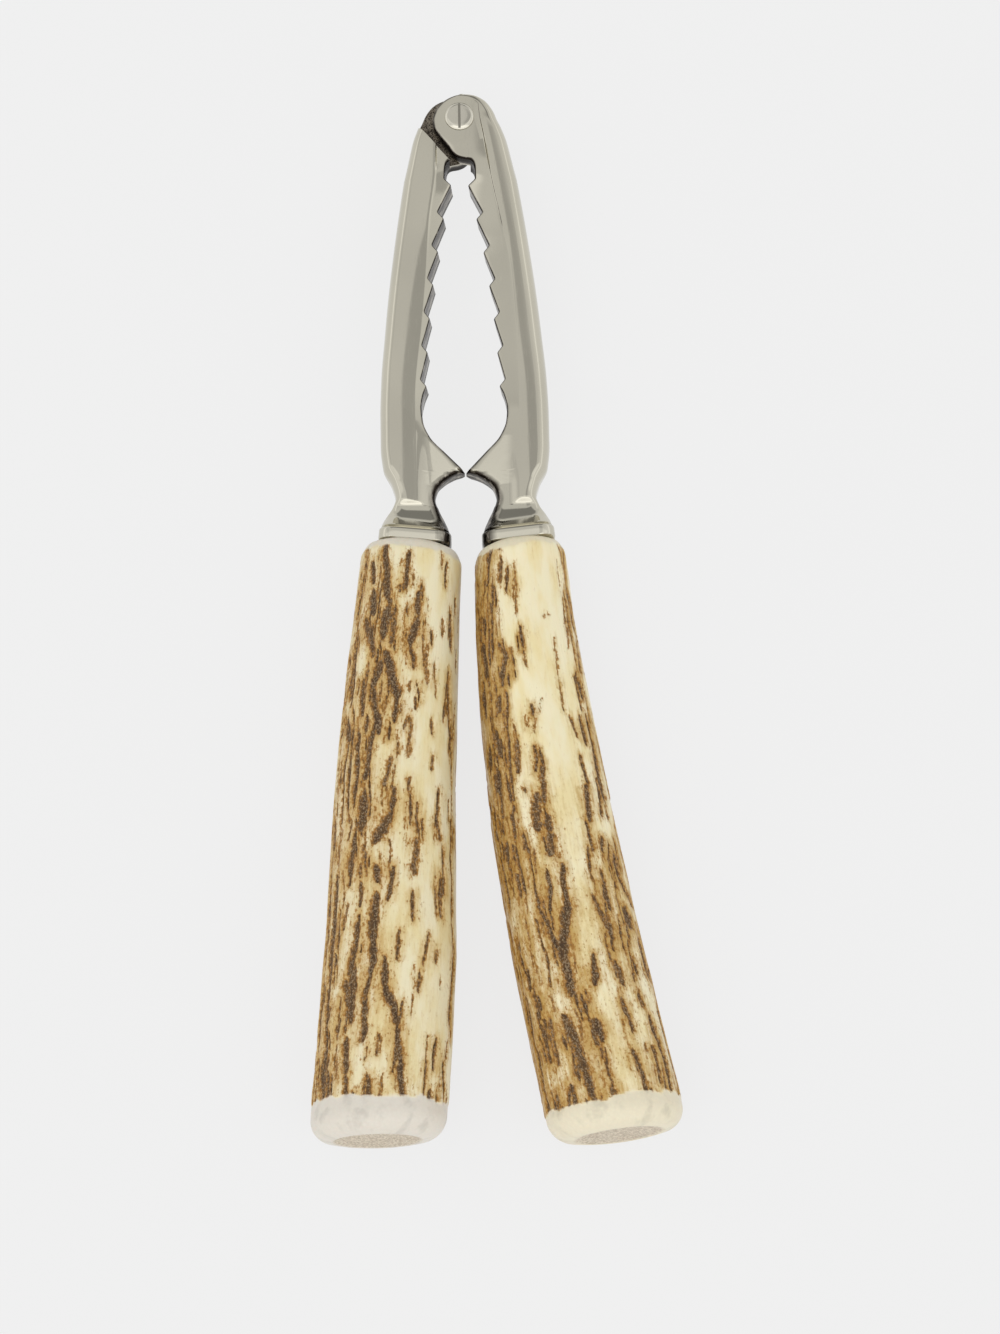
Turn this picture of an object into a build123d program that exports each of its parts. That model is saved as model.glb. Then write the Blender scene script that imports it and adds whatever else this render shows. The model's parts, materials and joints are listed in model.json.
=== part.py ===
from build123d import *
import os
from math import cos, radians, sin, sqrt

# Plier nutcracker: two plated jaw arms hinged at the head by a half-lap joint, with a
# slotted pivot screw, and a stag antler handle bonded over a threaded tang on each arm.
#
# Millimetres.  While it is built, the pivot axis is the Z axis, the head points along +Y,
# the right arm lies on +X and Z = 0 is the plane where the two halves of the lap meet.
# At the end the whole object is moved so that its origin is the bottom centre of its box:
# it then lies flat on Z = 0, closed, with the pivot axis parallel to Z.

# ---- driving dimensions -------------------------------------------------------------
LAP_HEIGHT = 11.5            # lap plane above the surface that the nutcracker lies on

HEAD_HALF = 3.75             # half thickness of the head, so each lug is this thick
CREST_HALF = 3.95            # along the crest of each arm
WEB_HALF = 2.35              # at the tips of the cracking teeth
NUB_HALF = 3.1               # at the stop nub below the cavity
EDGE_HALF = 1.3              # where the rounded back of the arm meets its outline
EDGE_SPARE = 0.8             # the relief runs this far past the outline
LAP_GAP = 0.05               # from the lap plane to each lug's inner face

TEETH = 7
FIRST_TIP = 15.0             # from the pivot to the first tooth tip
TOOTH_PITCH = 7.3
TOOTH_RISE = 1.3             # length of a tooth's steep flank
ROOT_RADIUS = 250.8          # the tooth roots and tips lie on two shallow arcs
ROOT_WIDEST = (8.65, -66.0)
TIP_RADIUS = 219.3
TIP_WIDEST = (7.45, -64.8)
NUB_GAP = 0.1                # each nub's tip stands this far from the centre plane
NUB_TIP = (NUB_GAP, -77.1)

SHANK_RADIUS = 2.0           # shoulder of the pivot screw
SHANK_PLAY = 0.05            # radial play in the lug that turns
STUD_RADIUS = 1.5            # threaded end of the screw, inside the nut
HEAD_RADIUS = 3.03
HEAD_RISE = 0.65
HEAD_BEVEL = 0.4
SLOT_WIDTH = 0.6
SLOT_DEPTH = 0.3
SCREW_PLAY = 0.05            # under the screw's head and under the nut

COLLAR_TILT = 6.0            # each collar leans outward by this angle
SEAT_CENTRE = (10.55, -92.5)  # centre of the collar's end face, on the right arm
COLLAR_WIDTH = 14.6
COLLAR_DEPTH = 11.0
COLLAR_LENGTH = 2.9
COLLAR_CORNER = 3.2
COLLAR_EDGE = 0.5
# The neck, from inside the arm's waist to the flare: (y, centre x, width, depth, corner)
NECK = [
    (-81.4, 10.2, 8.0, 6.6, 1.2),
    (-83.6, 10.2, 8.0, 6.6, 1.2),
    (-85.6, 10.1, 9.6, 7.4, 1.6),
]
FLARE_INSET = 0.5            # the flare meets the collar this far inside its rim

TANG_RADIUS = 2.5            # M5 stud
TANG_IN_ARM = 7.0
TANG_IN_HANDLE = 42.0
BORE_RADIUS = 4.0
BORE_DEPTH = 46.0

BUTT_ROUND = 4.0
SHOULDER_ROUND = 1.6
BUTT_Y = -213.1              # centre of each sawn butt face

# Each handle is a loft through ellipses across Y:
# (y, centre x, half width, half depth, centre z)
RIGHT_HANDLE = [
    (-88.0, 11.2, 8.8, 8.9, -0.9),
    (-99.5, 10.8, 9.5, 9.5, -0.9),
    (-118.0, 12.2, 10.6, 10.2, -0.7),
    (-140.0, 14.7, 11.8, 10.9, -0.4),
    (-165.0, 18.3, 12.7, 11.4, -0.1),
    (-190.0, 22.9, 13.2, 11.6, 0.1),
    (-220.0, 29.4, 13.7, 11.6, 0.1),
]
LEFT_HANDLE = [
    (-88.0, -10.6, 9.7, 9.2, -0.9),
    (-99.5, -11.6, 10.4, 9.7, -0.9),
    (-118.0, -13.2, 11.1, 10.3, -0.7),
    (-140.0, -14.8, 11.9, 10.9, -0.4),
    (-165.0, -15.9, 12.7, 11.4, -0.1),
    (-190.0, -17.4, 13.2, 11.6, 0.1),
    (-220.0, -18.9, 13.2, 11.6, 0.1),
]

# Outline of an arm, right-hand side, from the crown of the head down to its waist.
CROWN = (1.6, 5.35)
WIDEST = (17.1, -68.0)
BACK = [
    CROWN, (5.6, 3.75), (7.75, 0.0), (10.0, -5.9), (12.25, -17.0), (14.15, -30.3),
    (15.7, -43.5), (16.8, -56.5), WIDEST,
]
WAIST_OUTER = (14.2, -82.6)
WAIST_INNER = (6.1, -82.6)
# The lug's edge, from the crown round the pivot to the first tooth root.
LUG_ROUND = [CROWN, (-2.6, 4.1), (-5.5, -0.6)]
LUG_EDGE = [(-5.5, -0.6), (-4.6, -3.6), (-1.0, -8.6), (2.2, -9.5), (3.0, -11.0)]
# The shoulder of the half lap, on the side where the lug isn't.
SHOULDER = [(7.98, -2.43), (1.89, -9.82)]
SHOULDER_OVERRUN = 0.4       # the shoulder's cut runs past both ends by this part of its length
LAP_REACH = 14.0             # the lap's cut runs this far past the head

# Shares of the back's width, from the outline, where the crest ends and where it has rounded off
CREST_SHARE = 0.42
ROUND_SHARE = 0.12
ROUND_HALF = 0.72            # part of the crest's half thickness left at ROUND_SHARE
HEAD_END = -13.0             # above this the section reaches across the whole head
HEAD_REACH = -12.0
JAW_REACH = -1.0


# ---- outline of one arm --------------------------------------------------------------
def arc_x(radius, widest, y):
    """x of a shallow arc that is widest at the point widest, at height y."""
    return widest[0] - radius + sqrt(radius ** 2 - (y - widest[1]) ** 2)


def tooth_points():
    """Root and tip of every tooth, from the head towards the nub."""
    points = []
    for tooth in range(TEETH):
        tip_y = -FIRST_TIP - tooth * TOOTH_PITCH
        root_y = tip_y + TOOTH_RISE
        points.append((arc_x(ROOT_RADIUS, ROOT_WIDEST, root_y), root_y))
        points.append((arc_x(TIP_RADIUS, TIP_WIDEST, tip_y), tip_y))
    return points


def arm_outline():
    """The arm's outline in the lap plane, down to its waist."""
    teeth = tooth_points()
    back = Spline(*BACK, tangents=[(1, 0), (0, -1)])
    hip = Spline(WIDEST, (16.6, -76.0), WAIST_OUTER, tangents=[(0, -1), (-0.15, -1)])
    lug_round = Spline(*LUG_ROUND, tangents=[(-1, 0.1), (0, -1)])
    lug_edge = Polyline(*LUG_EDGE, *teeth)
    bow = Spline(teeth[-1], (8.6, -63.6), (7.1, -69.8), NUB_TIP, tangents=[(0.35, -1), (-1, -0.95)])
    throat = Spline(NUB_TIP, (4.5, -79.2), WAIST_INNER, tangents=[(1, -0.2), (0, -1)])
    waist = Line(WAIST_INNER, WAIST_OUTER)
    return make_face([back, hip, lug_round, lug_edge, bow, throat, waist])


# ---- thickness of one arm ------------------------------------------------------------
def relief_section(y, inner_half, crease_x, crest_half, outer_x):
    """Section across the arm: a thin inner facet, a crest and a rounded back.

    The facet runs from the inner edge, inner_half thick, to crease_x.  The crest is
    crest_half thick and the back rounds off to the outline at outer_x.
    """
    inner_x = HEAD_REACH if y > HEAD_END else JAW_REACH
    back = outer_x - crease_x
    upper = [
        (inner_x, inner_half),
        (crease_x, crest_half),
        (outer_x - CREST_SHARE * back, crest_half),
        (outer_x - ROUND_SHARE * back, ROUND_HALF * crest_half),
        (outer_x + EDGE_SPARE, EDGE_HALF / 2),
    ]
    lower = [(x, -z) for x, z in reversed(upper)]
    return Plane(origin=(0, y, 0), x_dir=(1, 0, 0), z_dir=(0, -1, 0)) * Polygon(*upper, *lower, align=None)


def arm_relief():
    """Solid that gives the arm its thickness, to be cut to the outline."""
    stations = [
        # y, inner half, crease x, crest half, outer x
        (7.0, HEAD_HALF, 4.0, HEAD_HALF, 11.0),
        (-10.0, HEAD_HALF, 5.9, HEAD_HALF, 11.6),
        (-19.0, WEB_HALF + 0.3, 7.3, CREST_HALF, 12.6),
        (-32.0, WEB_HALF - 0.5, 10.4, CREST_HALF, 14.4),
        (-45.0, WEB_HALF - 0.5, 11.2, CREST_HALF, 15.9),
        (-62.0, WEB_HALF - 0.2, 11.3, CREST_HALF, 17.0),
        (-74.0, NUB_HALF, 11.2, CREST_HALF, 17.0),
        (-86.0, NUB_HALF, 10.9, 0.9 * CREST_HALF, 15.4),
    ]
    sections = [relief_section(*station) for station in stations]
    return loft(sections, ruled=True)


def collar_frame():
    """Plane of the collar's seat: origin at its centre, +Z out of the arm into the handle."""
    lean = radians(COLLAR_TILT)
    return Plane(origin=(*SEAT_CENTRE, 0), x_dir=(cos(lean), sin(lean), 0), z_dir=(sin(lean), -cos(lean), 0))


def across(x, y):
    """Plane across the arm at one point, facing the handle."""
    return Plane(origin=(x, y, 0), x_dir=(1, 0, 0), z_dir=(0, -1, 0))


def neck_and_collar():
    """Flare from the waist to the collar that the handle butts against."""
    seat = collar_frame()
    top = seat.offset(-COLLAR_LENGTH)
    collar = extrude(top * RectangleRounded(COLLAR_WIDTH, COLLAR_DEPTH, COLLAR_CORNER), COLLAR_LENGTH)
    along_seat = Axis(origin=(*SEAT_CENTRE, 0), direction=tuple(seat.z_dir))
    ends = collar.faces().sort_by(along_seat)
    collar = fillet(ends[0].edges() + ends[-1].edges(), COLLAR_EDGE)
    sections = [across(x, y) * RectangleRounded(width, depth, corner) for y, x, width, depth, corner in NECK]
    narrower = 2 * FLARE_INSET
    sections.append(top * RectangleRounded(COLLAR_WIDTH - narrower, COLLAR_DEPTH - narrower,
                                           COLLAR_CORNER - FLARE_INSET))
    return collar + loft(sections)


def arm_casting():
    """One arm, as the right-hand one: its lug is the upper half of the head."""
    body = extrude(arm_outline(), CREST_HALF + 1, both=True) & arm_relief()
    (upper_x, upper_y), (lower_x, lower_y) = SHOULDER
    overrun_x = SHOULDER_OVERRUN * (lower_x - upper_x)
    overrun_y = SHOULDER_OVERRUN * (lower_y - upper_y)
    start = (upper_x - overrun_x, upper_y - overrun_y)
    stop = (lower_x + overrun_x, lower_y + overrun_y)
    lap = Polygon(start, stop, (-LAP_REACH, stop[1]), (-LAP_REACH, LAP_REACH), (start[0], LAP_REACH), align=None)
    body -= extrude(Plane.XY.offset(LAP_GAP) * lap, 2 * CREST_HALF, dir=(0, 0, -1))
    tang_hole = extrude(collar_frame() * Circle(TANG_RADIUS), -TANG_IN_ARM)
    return body + neck_and_collar() - tang_hole


# ---- pivot ---------------------------------------------------------------------------
def pivot_disc(radius, rise):
    """Low round head with a bevelled rim and a driver slot, its flat side on Z = 0."""
    disc = extrude(Circle(radius), rise)
    disc = chamfer(disc.edges().group_by(Axis.Z)[-1], HEAD_BEVEL)
    slot = extrude(Plane.XY.offset(rise) * Rectangle(SLOT_WIDTH, 3 * radius), -SLOT_DEPTH)
    return disc - slot


def pivot_screw():
    """Shoulder screw: its head lies on the turning lug, its stud ends in the nut."""
    seat_z = HEAD_HALF + SCREW_PLAY
    head = Pos(0, 0, seat_z) * pivot_disc(HEAD_RADIUS, HEAD_RISE)
    shoulder = Pos(0, 0, -seat_z) * extrude(Circle(SHANK_RADIUS), 2 * seat_z)
    stud = Pos(0, 0, -seat_z) * extrude(Circle(STUD_RADIUS), -HEAD_RISE)
    return head + shoulder + stud


def pivot_nut():
    """Round slotted nut on the far side, tightened against the screw's shoulder."""
    nut = Rot(180, 0, 0) * pivot_disc(HEAD_RADIUS, HEAD_RISE)
    nut = Pos(0, 0, -HEAD_HALF - SCREW_PLAY) * nut
    return nut - extrude(Plane.XY.offset(-HEAD_HALF) * Circle(STUD_RADIUS), -2 * HEAD_HALF)


# ---- handles -------------------------------------------------------------------------
def handle_blank(sections):
    """Antler tine, from above its collar to below its butt."""
    ellipses = []
    for y, centre_x, half_width, half_depth, centre_z in sections:
        across_tine = Plane(origin=(centre_x, y, centre_z), x_dir=(1, 0, 0), z_dir=(0, -1, 0))
        ellipses.append(across_tine * Ellipse(half_width, half_depth))
    return loft(ellipses)


def butt_frame(sections):
    """Plane of the sawn butt, square to the tine, +Z out of the handle."""
    (near_y, near_x), (far_y, far_x) = [(row[0], row[1]) for row in sections[-2:]]
    slope = (far_x - near_x) / (far_y - near_y)
    centre_x = near_x + slope * (BUTT_Y - near_y)
    return Plane(origin=(centre_x, BUTT_Y, 0), z_dir=(-slope, -1, 0))


def handle(sections, seat):
    """One antler handle: sawn at both ends, rounded over, and bored for its tang."""
    tine = split(handle_blank(sections), bisect_by=seat, keep=Keep.TOP)
    butt = butt_frame(sections)
    tine = split(tine, bisect_by=butt, keep=Keep.BOTTOM)
    ends = tine.edges().sort_by(Axis.Y)
    tine = fillet(ends[0], BUTT_ROUND)
    tine = fillet(tine.edges().sort_by(Axis.Y)[-1], SHOULDER_ROUND)
    return tine - extrude(seat * Circle(BORE_RADIUS), BORE_DEPTH)


def tang(seat):
    """Threaded stud screwed into the arm and reaching down the handle's bore."""
    return extrude(seat.offset(-TANG_IN_ARM) * Circle(TANG_RADIUS), TANG_IN_ARM + TANG_IN_HANDLE)


def bond(seat):
    """Resin that fills the bore round the tang."""
    return extrude(seat * Circle(BORE_RADIUS), BORE_DEPTH) - tang(seat)


# ---- assembly ------------------------------------------------------------------------
def mirrored(plane):
    """The same plane on the other arm, which is the casting turned over about Y."""
    origin, normal = plane.origin, plane.z_dir
    return Plane(origin=(-origin.X, origin.Y, -origin.Z), x_dir=(0, 0, 1), z_dir=(-normal.X, normal.Y, -normal.Z))


def assembly():
    """Every node by name, about the pivot."""
    casting = arm_casting()
    right_seat = collar_frame()
    left_seat = mirrored(right_seat)
    turning_bore = extrude(Circle(SHANK_RADIUS + SHANK_PLAY), 2 * HEAD_HALF, both=True)
    fixed_bore = extrude(Circle(SHANK_RADIUS), 2 * HEAD_HALF, both=True)
    return {
        "right_arm": casting - turning_bore,
        "left_arm": Rot(0, 180, 0) * casting - fixed_bore,
        "pivot_screw": pivot_screw(),
        "pivot_nut": pivot_nut(),
        "right_tang": tang(right_seat),
        "left_tang": tang(left_seat),
        "right_bond": bond(right_seat),
        "left_bond": bond(left_seat),
        "right_handle": handle(RIGHT_HANDLE, right_seat),
        "left_handle": handle(LEFT_HANDLE, left_seat),
    }


def main():
    os.makedirs("parts", exist_ok=True)
    nodes = assembly()
    boxes = [shape.bounding_box() for shape in nodes.values()]
    low = [min(tuple(box.min)[axis] for box in boxes) for axis in range(3)]
    high = [max(tuple(box.max)[axis] for box in boxes) for axis in range(3)]
    shift = Pos(-(low[0] + high[0]) / 2, -(low[1] + high[1]) / 2, -low[2])
    for name, shape in nodes.items():
        export_step(shift * shape, f"parts/{name}.step")
    pivot = shift.position
    print(f"pivot axis at x {pivot.X:.4f}, y {pivot.Y:.4f}; lap plane at z {pivot.Z:.4f}")
    print("overall " + " x ".join(f"{top - base:.2f}" for base, top in zip(low, high)))


main()
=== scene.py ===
import json
from math import cos, pi, radians, sin, sqrt, tan

import bmesh
import bpy
import numpy as np
from mathutils import Matrix, Vector
from mathutils.bvhtree import BVHTree


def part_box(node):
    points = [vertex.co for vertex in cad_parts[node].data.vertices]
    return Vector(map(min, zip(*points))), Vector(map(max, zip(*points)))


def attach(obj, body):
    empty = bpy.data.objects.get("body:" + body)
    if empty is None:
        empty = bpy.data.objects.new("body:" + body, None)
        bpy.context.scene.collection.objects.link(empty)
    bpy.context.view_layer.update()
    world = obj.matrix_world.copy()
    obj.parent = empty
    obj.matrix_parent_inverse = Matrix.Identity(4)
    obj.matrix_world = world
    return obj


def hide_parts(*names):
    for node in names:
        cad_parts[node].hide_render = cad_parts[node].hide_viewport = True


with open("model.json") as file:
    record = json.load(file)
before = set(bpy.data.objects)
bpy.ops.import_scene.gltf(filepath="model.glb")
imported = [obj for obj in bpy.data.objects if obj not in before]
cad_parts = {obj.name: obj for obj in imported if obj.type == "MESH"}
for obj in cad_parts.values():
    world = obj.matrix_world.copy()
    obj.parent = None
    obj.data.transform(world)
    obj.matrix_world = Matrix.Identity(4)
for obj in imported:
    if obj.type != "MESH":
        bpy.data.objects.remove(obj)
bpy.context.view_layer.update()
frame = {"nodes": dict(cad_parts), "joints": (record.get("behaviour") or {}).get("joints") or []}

# Lengths are worked out in millimetres about the pivot, then placed in metres by the frame.
MM = 0.001
PIVOT = Vector(frame["joints"][0]["pos_m"])
LEFT, RIGHT = "left_side", "right_side"


# ---- small helpers -------------------------------------------------------------------
def smooth(low, high, value):
    """0 below low, 1 above high, and a soft ramp between."""
    t = np.clip((value - low) / (high - low), 0.0, 1.0)
    return t * t * (3.0 - 2.0 * t)


def through(stations, values, at):
    """A smooth curve through a few stations (monotone cubic), read at the places at."""
    x = np.asarray(stations, float)
    y = np.asarray(values, float)
    if x[0] > x[-1]:
        x, y = x[::-1], y[::-1]
    step = np.diff(x)
    slope = np.diff(y) / step
    tangent = np.empty_like(y)
    tangent[1:-1] = np.where(slope[:-1] * slope[1:] > 0,
                             2 * slope[:-1] * slope[1:] / (slope[:-1] + slope[1:] + 1e-12), 0.0)
    tangent[0], tangent[-1] = slope[0], slope[-1]
    at = np.clip(np.asarray(at, float), x[0], x[-1])
    k = np.clip(np.searchsorted(x, at) - 1, 0, len(x) - 2)
    t = (at - x[k]) / step[k]
    h00, h10 = (1 + 2 * t) * (1 - t) ** 2, t * (1 - t) ** 2
    h01, h11 = t * t * (3 - 2 * t), t * t * (t - 1)
    return h00 * y[k] + h10 * step[k] * tangent[k] + h01 * y[k + 1] + h11 * step[k] * tangent[k + 1]


def grid_noise(u, v, wrap_u, seed):
    """Smooth gradient noise on a plane, about -1 to 1; it repeats every wrap_u along u."""
    rng = np.random.default_rng(seed)
    angles = rng.uniform(0, 2 * pi, (wrap_u, 256))
    gx, gy = np.cos(angles), np.sin(angles)
    iu, iv = np.floor(u).astype(int), np.floor(v).astype(int)
    fu, fv = u - iu, v - iv

    def corner(du, dv):
        a, b = (iu + du) % wrap_u, (iv + dv) % 256
        return gx[a, b] * (fu - du) + gy[a, b] * (fv - dv)

    su, sv = fu * fu * fu * (fu * (fu * 6 - 15) + 10), fv * fv * fv * (fv * (fv * 6 - 15) + 10)
    low = corner(0, 0) * (1 - su) + corner(1, 0) * su
    high = corner(0, 1) * (1 - su) + corner(1, 1) * su
    return 1.5 * (low * (1 - sv) + high * sv)


def placed(name, data):
    """A new object of the scene, round a mesh, a light or a camera."""
    made = bpy.data.objects.new(name, data)
    bpy.context.scene.collection.objects.link(made)
    return made


def mesh_piece(name, points_mm, faces, materials, face_material=None):
    """A mesh object from points in millimetres about the pivot, smooth shaded."""
    mesh = bpy.data.meshes.new(name)
    points = np.asarray(points_mm, float) * MM + np.array(PIVOT)
    mesh.from_pydata([tuple(p) for p in points], [], faces)
    for material in materials:
        mesh.materials.append(material)
    if face_material is not None:
        mesh.polygons.foreach_set("material_index", face_material)
    mesh.polygons.foreach_set("use_smooth", [True] * len(mesh.polygons))
    mesh.update()
    return placed(name, mesh)


def ring_faces(rings, around):
    """Quads of a tube of rings, each with the same number of points around."""
    faces = []
    for ring in range(rings - 1):
        base, ahead = ring * around, (ring + 1) * around
        for i in range(around):
            j = (i + 1) % around
            faces.append((base + i, base + j, ahead + j, ahead + i))
    return faces


def sharpen(piece, angle):
    """Edges turning by more than angle degrees are shaded sharp; faces are turned outward."""
    bm = bmesh.new()
    bm.from_mesh(piece.data)
    bmesh.ops.recalc_face_normals(bm, faces=bm.faces)
    for edge in bm.edges:
        edge.smooth = len(edge.link_faces) == 2 and edge.calc_face_angle(0) < radians(angle)
    bm.to_mesh(piece.data)
    bm.free()


def store(piece, name, values):
    """One number for each point of a piece, for its material to read."""
    attribute = piece.data.attributes.new(name, "FLOAT", "POINT")
    attribute.data.foreach_set("value", np.asarray(values, np.float32).ravel())


# ---- shader helpers --------------------------------------------------------------------
def node(tree, kind, inputs=None, **settings):
    """Adds a shader node, sets its properties, and links or sets its named inputs."""
    made = tree.nodes.new(kind)
    for key, value in settings.items():
        setattr(made, key, value)
    for key, value in (inputs or {}).items():
        socket = made.inputs[key]
        if isinstance(value, bpy.types.NodeSocket):
            tree.links.new(value, socket)
        else:
            socket.default_value = value
    return made


def math_node(tree, operation, a, b=0.0):
    return node(tree, "ShaderNodeMath", {0: a, 1: b}, operation=operation).outputs[0]


def times(tree, a, b):
    return math_node(tree, "MULTIPLY", a, b)


def plus(tree, a, b):
    return math_node(tree, "ADD", a, b)


def ramp(tree, value, low, high, to_low=0.0, to_high=1.0):
    made = node(tree, "ShaderNodeMapRange",
                {"Value": value, "From Min": low, "From Max": high, "To Min": to_low, "To Max": to_high},
                interpolation_type="SMOOTHSTEP")
    return made.outputs["Result"]


def blend_colour(tree, amount, under, over):
    made = node(tree, "ShaderNodeMix", data_type="RGBA")
    for key, value in (("Factor", amount), ("A", under), ("B", over)):
        kind = "VALUE" if key == "Factor" else "RGBA"
        socket = next(s for s in made.inputs if s.name == key and s.type == kind)
        if isinstance(value, bpy.types.NodeSocket):
            tree.links.new(value, socket)
        else:
            socket.default_value = value
    return next(s for s in made.outputs if s.type == "RGBA")


def stretched(tree, scale):
    """Object coordinates scaled along each axis, for noise with a grain along Y."""
    coords = node(tree, "ShaderNodeTexCoord").outputs["Object"]
    return node(tree, "ShaderNodeMapping", {"Vector": coords, "Scale": scale}).outputs["Vector"]


def noise(tree, vector, scale, detail=3.0, rough=0.55):
    made = node(tree, "ShaderNodeTexNoise",
                {"Vector": vector, "Scale": scale, "Detail": detail, "Roughness": rough})
    return made.outputs["Fac"]


def new_material(name, **constants):
    """An empty material with a Principled shader; constants go on the shader's own sockets."""
    material = bpy.data.materials.new(name)
    material.use_nodes = True
    tree = material.node_tree
    shader = tree.nodes["Principled BSDF"]
    for key, value in constants.items():
        shader.inputs[key.replace("_", " ")].default_value = value
    return material, tree, shader


def dress(tree, shader, colour, roughness, height=None, strength=0.0, distance=0.0):
    """Links a colour and a roughness to a shader, and relief from a height where there is one."""
    tree.links.new(colour, shader.inputs["Base Color"])
    tree.links.new(roughness, shader.inputs["Roughness"])
    if height is not None:
        bump = node(tree, "ShaderNodeBump", {"Height": height, "Strength": strength, "Distance": distance})
        tree.links.new(bump.outputs["Normal"], shader.inputs["Normal"])


def attribute(tree, name):
    return node(tree, "ShaderNodeAttribute", attribute_name=name).outputs["Fac"]


def group(name, inputs, outputs):
    """An empty node group with float inputs (name: default) and outputs (name: socket kind)."""
    tree = bpy.data.node_groups.new(name, "ShaderNodeTree")
    for key, value in inputs.items():
        tree.interface.new_socket(key, in_out="INPUT", socket_type="NodeSocketFloat").default_value = value
    for key, kind in outputs.items():
        tree.interface.new_socket(key, in_out="OUTPUT", socket_type=kind)
    return tree, tree.nodes.new("NodeGroupInput"), tree.nodes.new("NodeGroupOutput")


def handling_marks():
    """Faint smears and hairline scratches left on polished metal by handling."""
    tree, given, out = group("handling marks", {"Smear": 0.5, "Scratch": 0.5},
                             {"Roughness Lift": "NodeSocketFloat", "Height": "NodeSocketFloat"})
    smear = ramp(tree, noise(tree, stretched(tree, (1, 0.5, 1)), 140.0, 4.0), 0.45, 0.75)
    hair = ramp(tree, noise(tree, stretched(tree, (6, 0.25, 6)), 900.0, 2.0), 0.62, 0.70)
    lift = times(tree, smear, given.outputs["Smear"])
    height = times(tree, hair, given.outputs["Scratch"])
    lift = plus(tree, lift, times(tree, height, 0.4))
    tree.links.new(lift, out.inputs["Roughness Lift"])
    tree.links.new(height, out.inputs["Height"])
    return tree


def speckle():
    """Fine dark and light grains, for porous and cast surfaces."""
    tree, given, out = group("speckle", {"Scale": 2000.0, "Amount": 0.5},
                             {"Mask": "NodeSocketFloat", "Height": "NodeSocketFloat"})
    coords = node(tree, "ShaderNodeTexCoord").outputs["Object"]
    cells = node(tree, "ShaderNodeTexVoronoi", {"Vector": coords, "Scale": given.outputs["Scale"]})
    grain = node(tree, "ShaderNodeTexNoise",
                 {"Vector": coords, "Scale": given.outputs["Scale"], "Detail": 2.0})
    mixed = times(tree, cells.outputs["Distance"], grain.outputs["Fac"])
    mask = times(tree, ramp(tree, mixed, 0.12, 0.34), given.outputs["Amount"])
    tree.links.new(mask, out.inputs["Mask"])
    tree.links.new(mixed, out.inputs["Height"])
    return tree


MARKS = handling_marks()
SPECKLE = speckle()


def use_group(tree, shared, **values):
    return node(tree, "ShaderNodeGroup", {key.replace("_", " "): value for key, value in values.items()},
                node_tree=shared)


# ---- materials -------------------------------------------------------------------------
# Colours are linear red, green and blue.
BLACKENED_AND_SHADED = (0.018, 0.014, 0.011, 1)         # plate in the deepest corners, its near black being painted shade
GRIME_AND_SHADE = (0.030, 0.023, 0.018, 1)            # plate where no wheel reaches, darkened further as painted shade, and its paler streaks
SCRAPED = (0.25, 0.225, 0.19, 1)
GREASE_AND_SHADE = (0.016, 0.012, 0.009, 1)            # the lap's cast face, from its dirt and painted shade to its brightest grains
BARE_CAST = (0.10, 0.08, 0.058, 1)
CAST_GRAIN = (0.26, 0.225, 0.175, 1)
AMBER_FLECK = (0.33, 0.155, 0.026, 1)        # antler's skin, from a furrow's border to its floor
AMBER_EDGE = (0.35, 0.165, 0.028, 1)
UMBER = (0.120, 0.062, 0.021, 1)
FURROW_FLOOR = (0.045, 0.026, 0.014, 1)
FURROW_GLINT = (0.36, 0.265, 0.155, 1)
PORE = (0.50, 0.44, 0.36, 1)                 # sawn antler: its pores and its marrow
MARROW = (0.66, 0.575, 0.44, 1)
MARROW_HOLE = (0.33, 0.25, 0.155, 1)


def bright_nickel(name, colour, roughness, smear):
    """Buffed nickel plate: warm grey and mirror bright; unpolished and streaked where no wheel reaches, and
    near black as painted shade in corners, on tooth walls and in the gap between the arms.
    """
    material, tree, shader = new_material(name, Metallic=1.0)
    marks = use_group(tree, MARKS, Smear=smear, Scratch=0.25)
    tint = noise(tree, stretched(tree, (1, 0.6, 1)), 60.0, 2.0)
    darker = tuple(0.93 * c for c in colour[:3]) + (1,)
    plate = blend_colour(tree, ramp(tree, tint, 0.35, 0.7), colour, darker)
    streak = ramp(tree, noise(tree, stretched(tree, (1, 0.35, 1)), 900.0, 3.0), 0.46, 0.66)
    dull_and_shade = blend_colour(tree, streak, GRIME_AND_SHADE, SCRAPED)
    unbuffed_and_shade = attribute(tree, "unbuffed_and_shade")
    # Painted shade: past 1 the mark darkens the plate to near black, in deep corners, on tooth walls and in
    # the gap by the lug.
    dull_and_shade = blend_colour(tree, ramp(tree, unbuffed_and_shade, 1.0, 1.6), dull_and_shade, BLACKENED_AND_SHADED)
    dull_and_shade_share = math_node(tree, "MINIMUM", unbuffed_and_shade, 1.0)
    rough = plus(tree, marks.outputs["Roughness Lift"], roughness)
    rough = plus(tree, rough, times(tree, unbuffed_and_shade, 0.2))
    dress(tree, shader, blend_colour(tree, dull_and_shade_share, plate, dull_and_shade), rough,
          marks.outputs["Height"], 0.06, 0.0001)
    return material


def rough_casting():
    """The unpolished face of the lap: dark cast metal with pits and old grease, its colours darkened as
    painted shade in the gap between the arms.
    """
    material, tree, shader = new_material("rough casting", Metallic=0.75)
    grains = use_group(tree, SPECKLE, Scale=2600.0, Amount=0.9)
    patch = ramp(tree, noise(tree, stretched(tree, (1, 1, 1)), 700.0, 4.0), 0.35, 0.65)
    # Painted shade: these colours are kept dark for the shade in the gap between the arms.
    base = blend_colour(tree, patch, GREASE_AND_SHADE, BARE_CAST)
    dress(tree, shader, blend_colour(tree, grains.outputs["Mask"], base, CAST_GRAIN),
          ramp(tree, patch, 0, 1, 0.62, 0.38), grains.outputs["Height"], 0.8, 0.0003)
    return material


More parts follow.
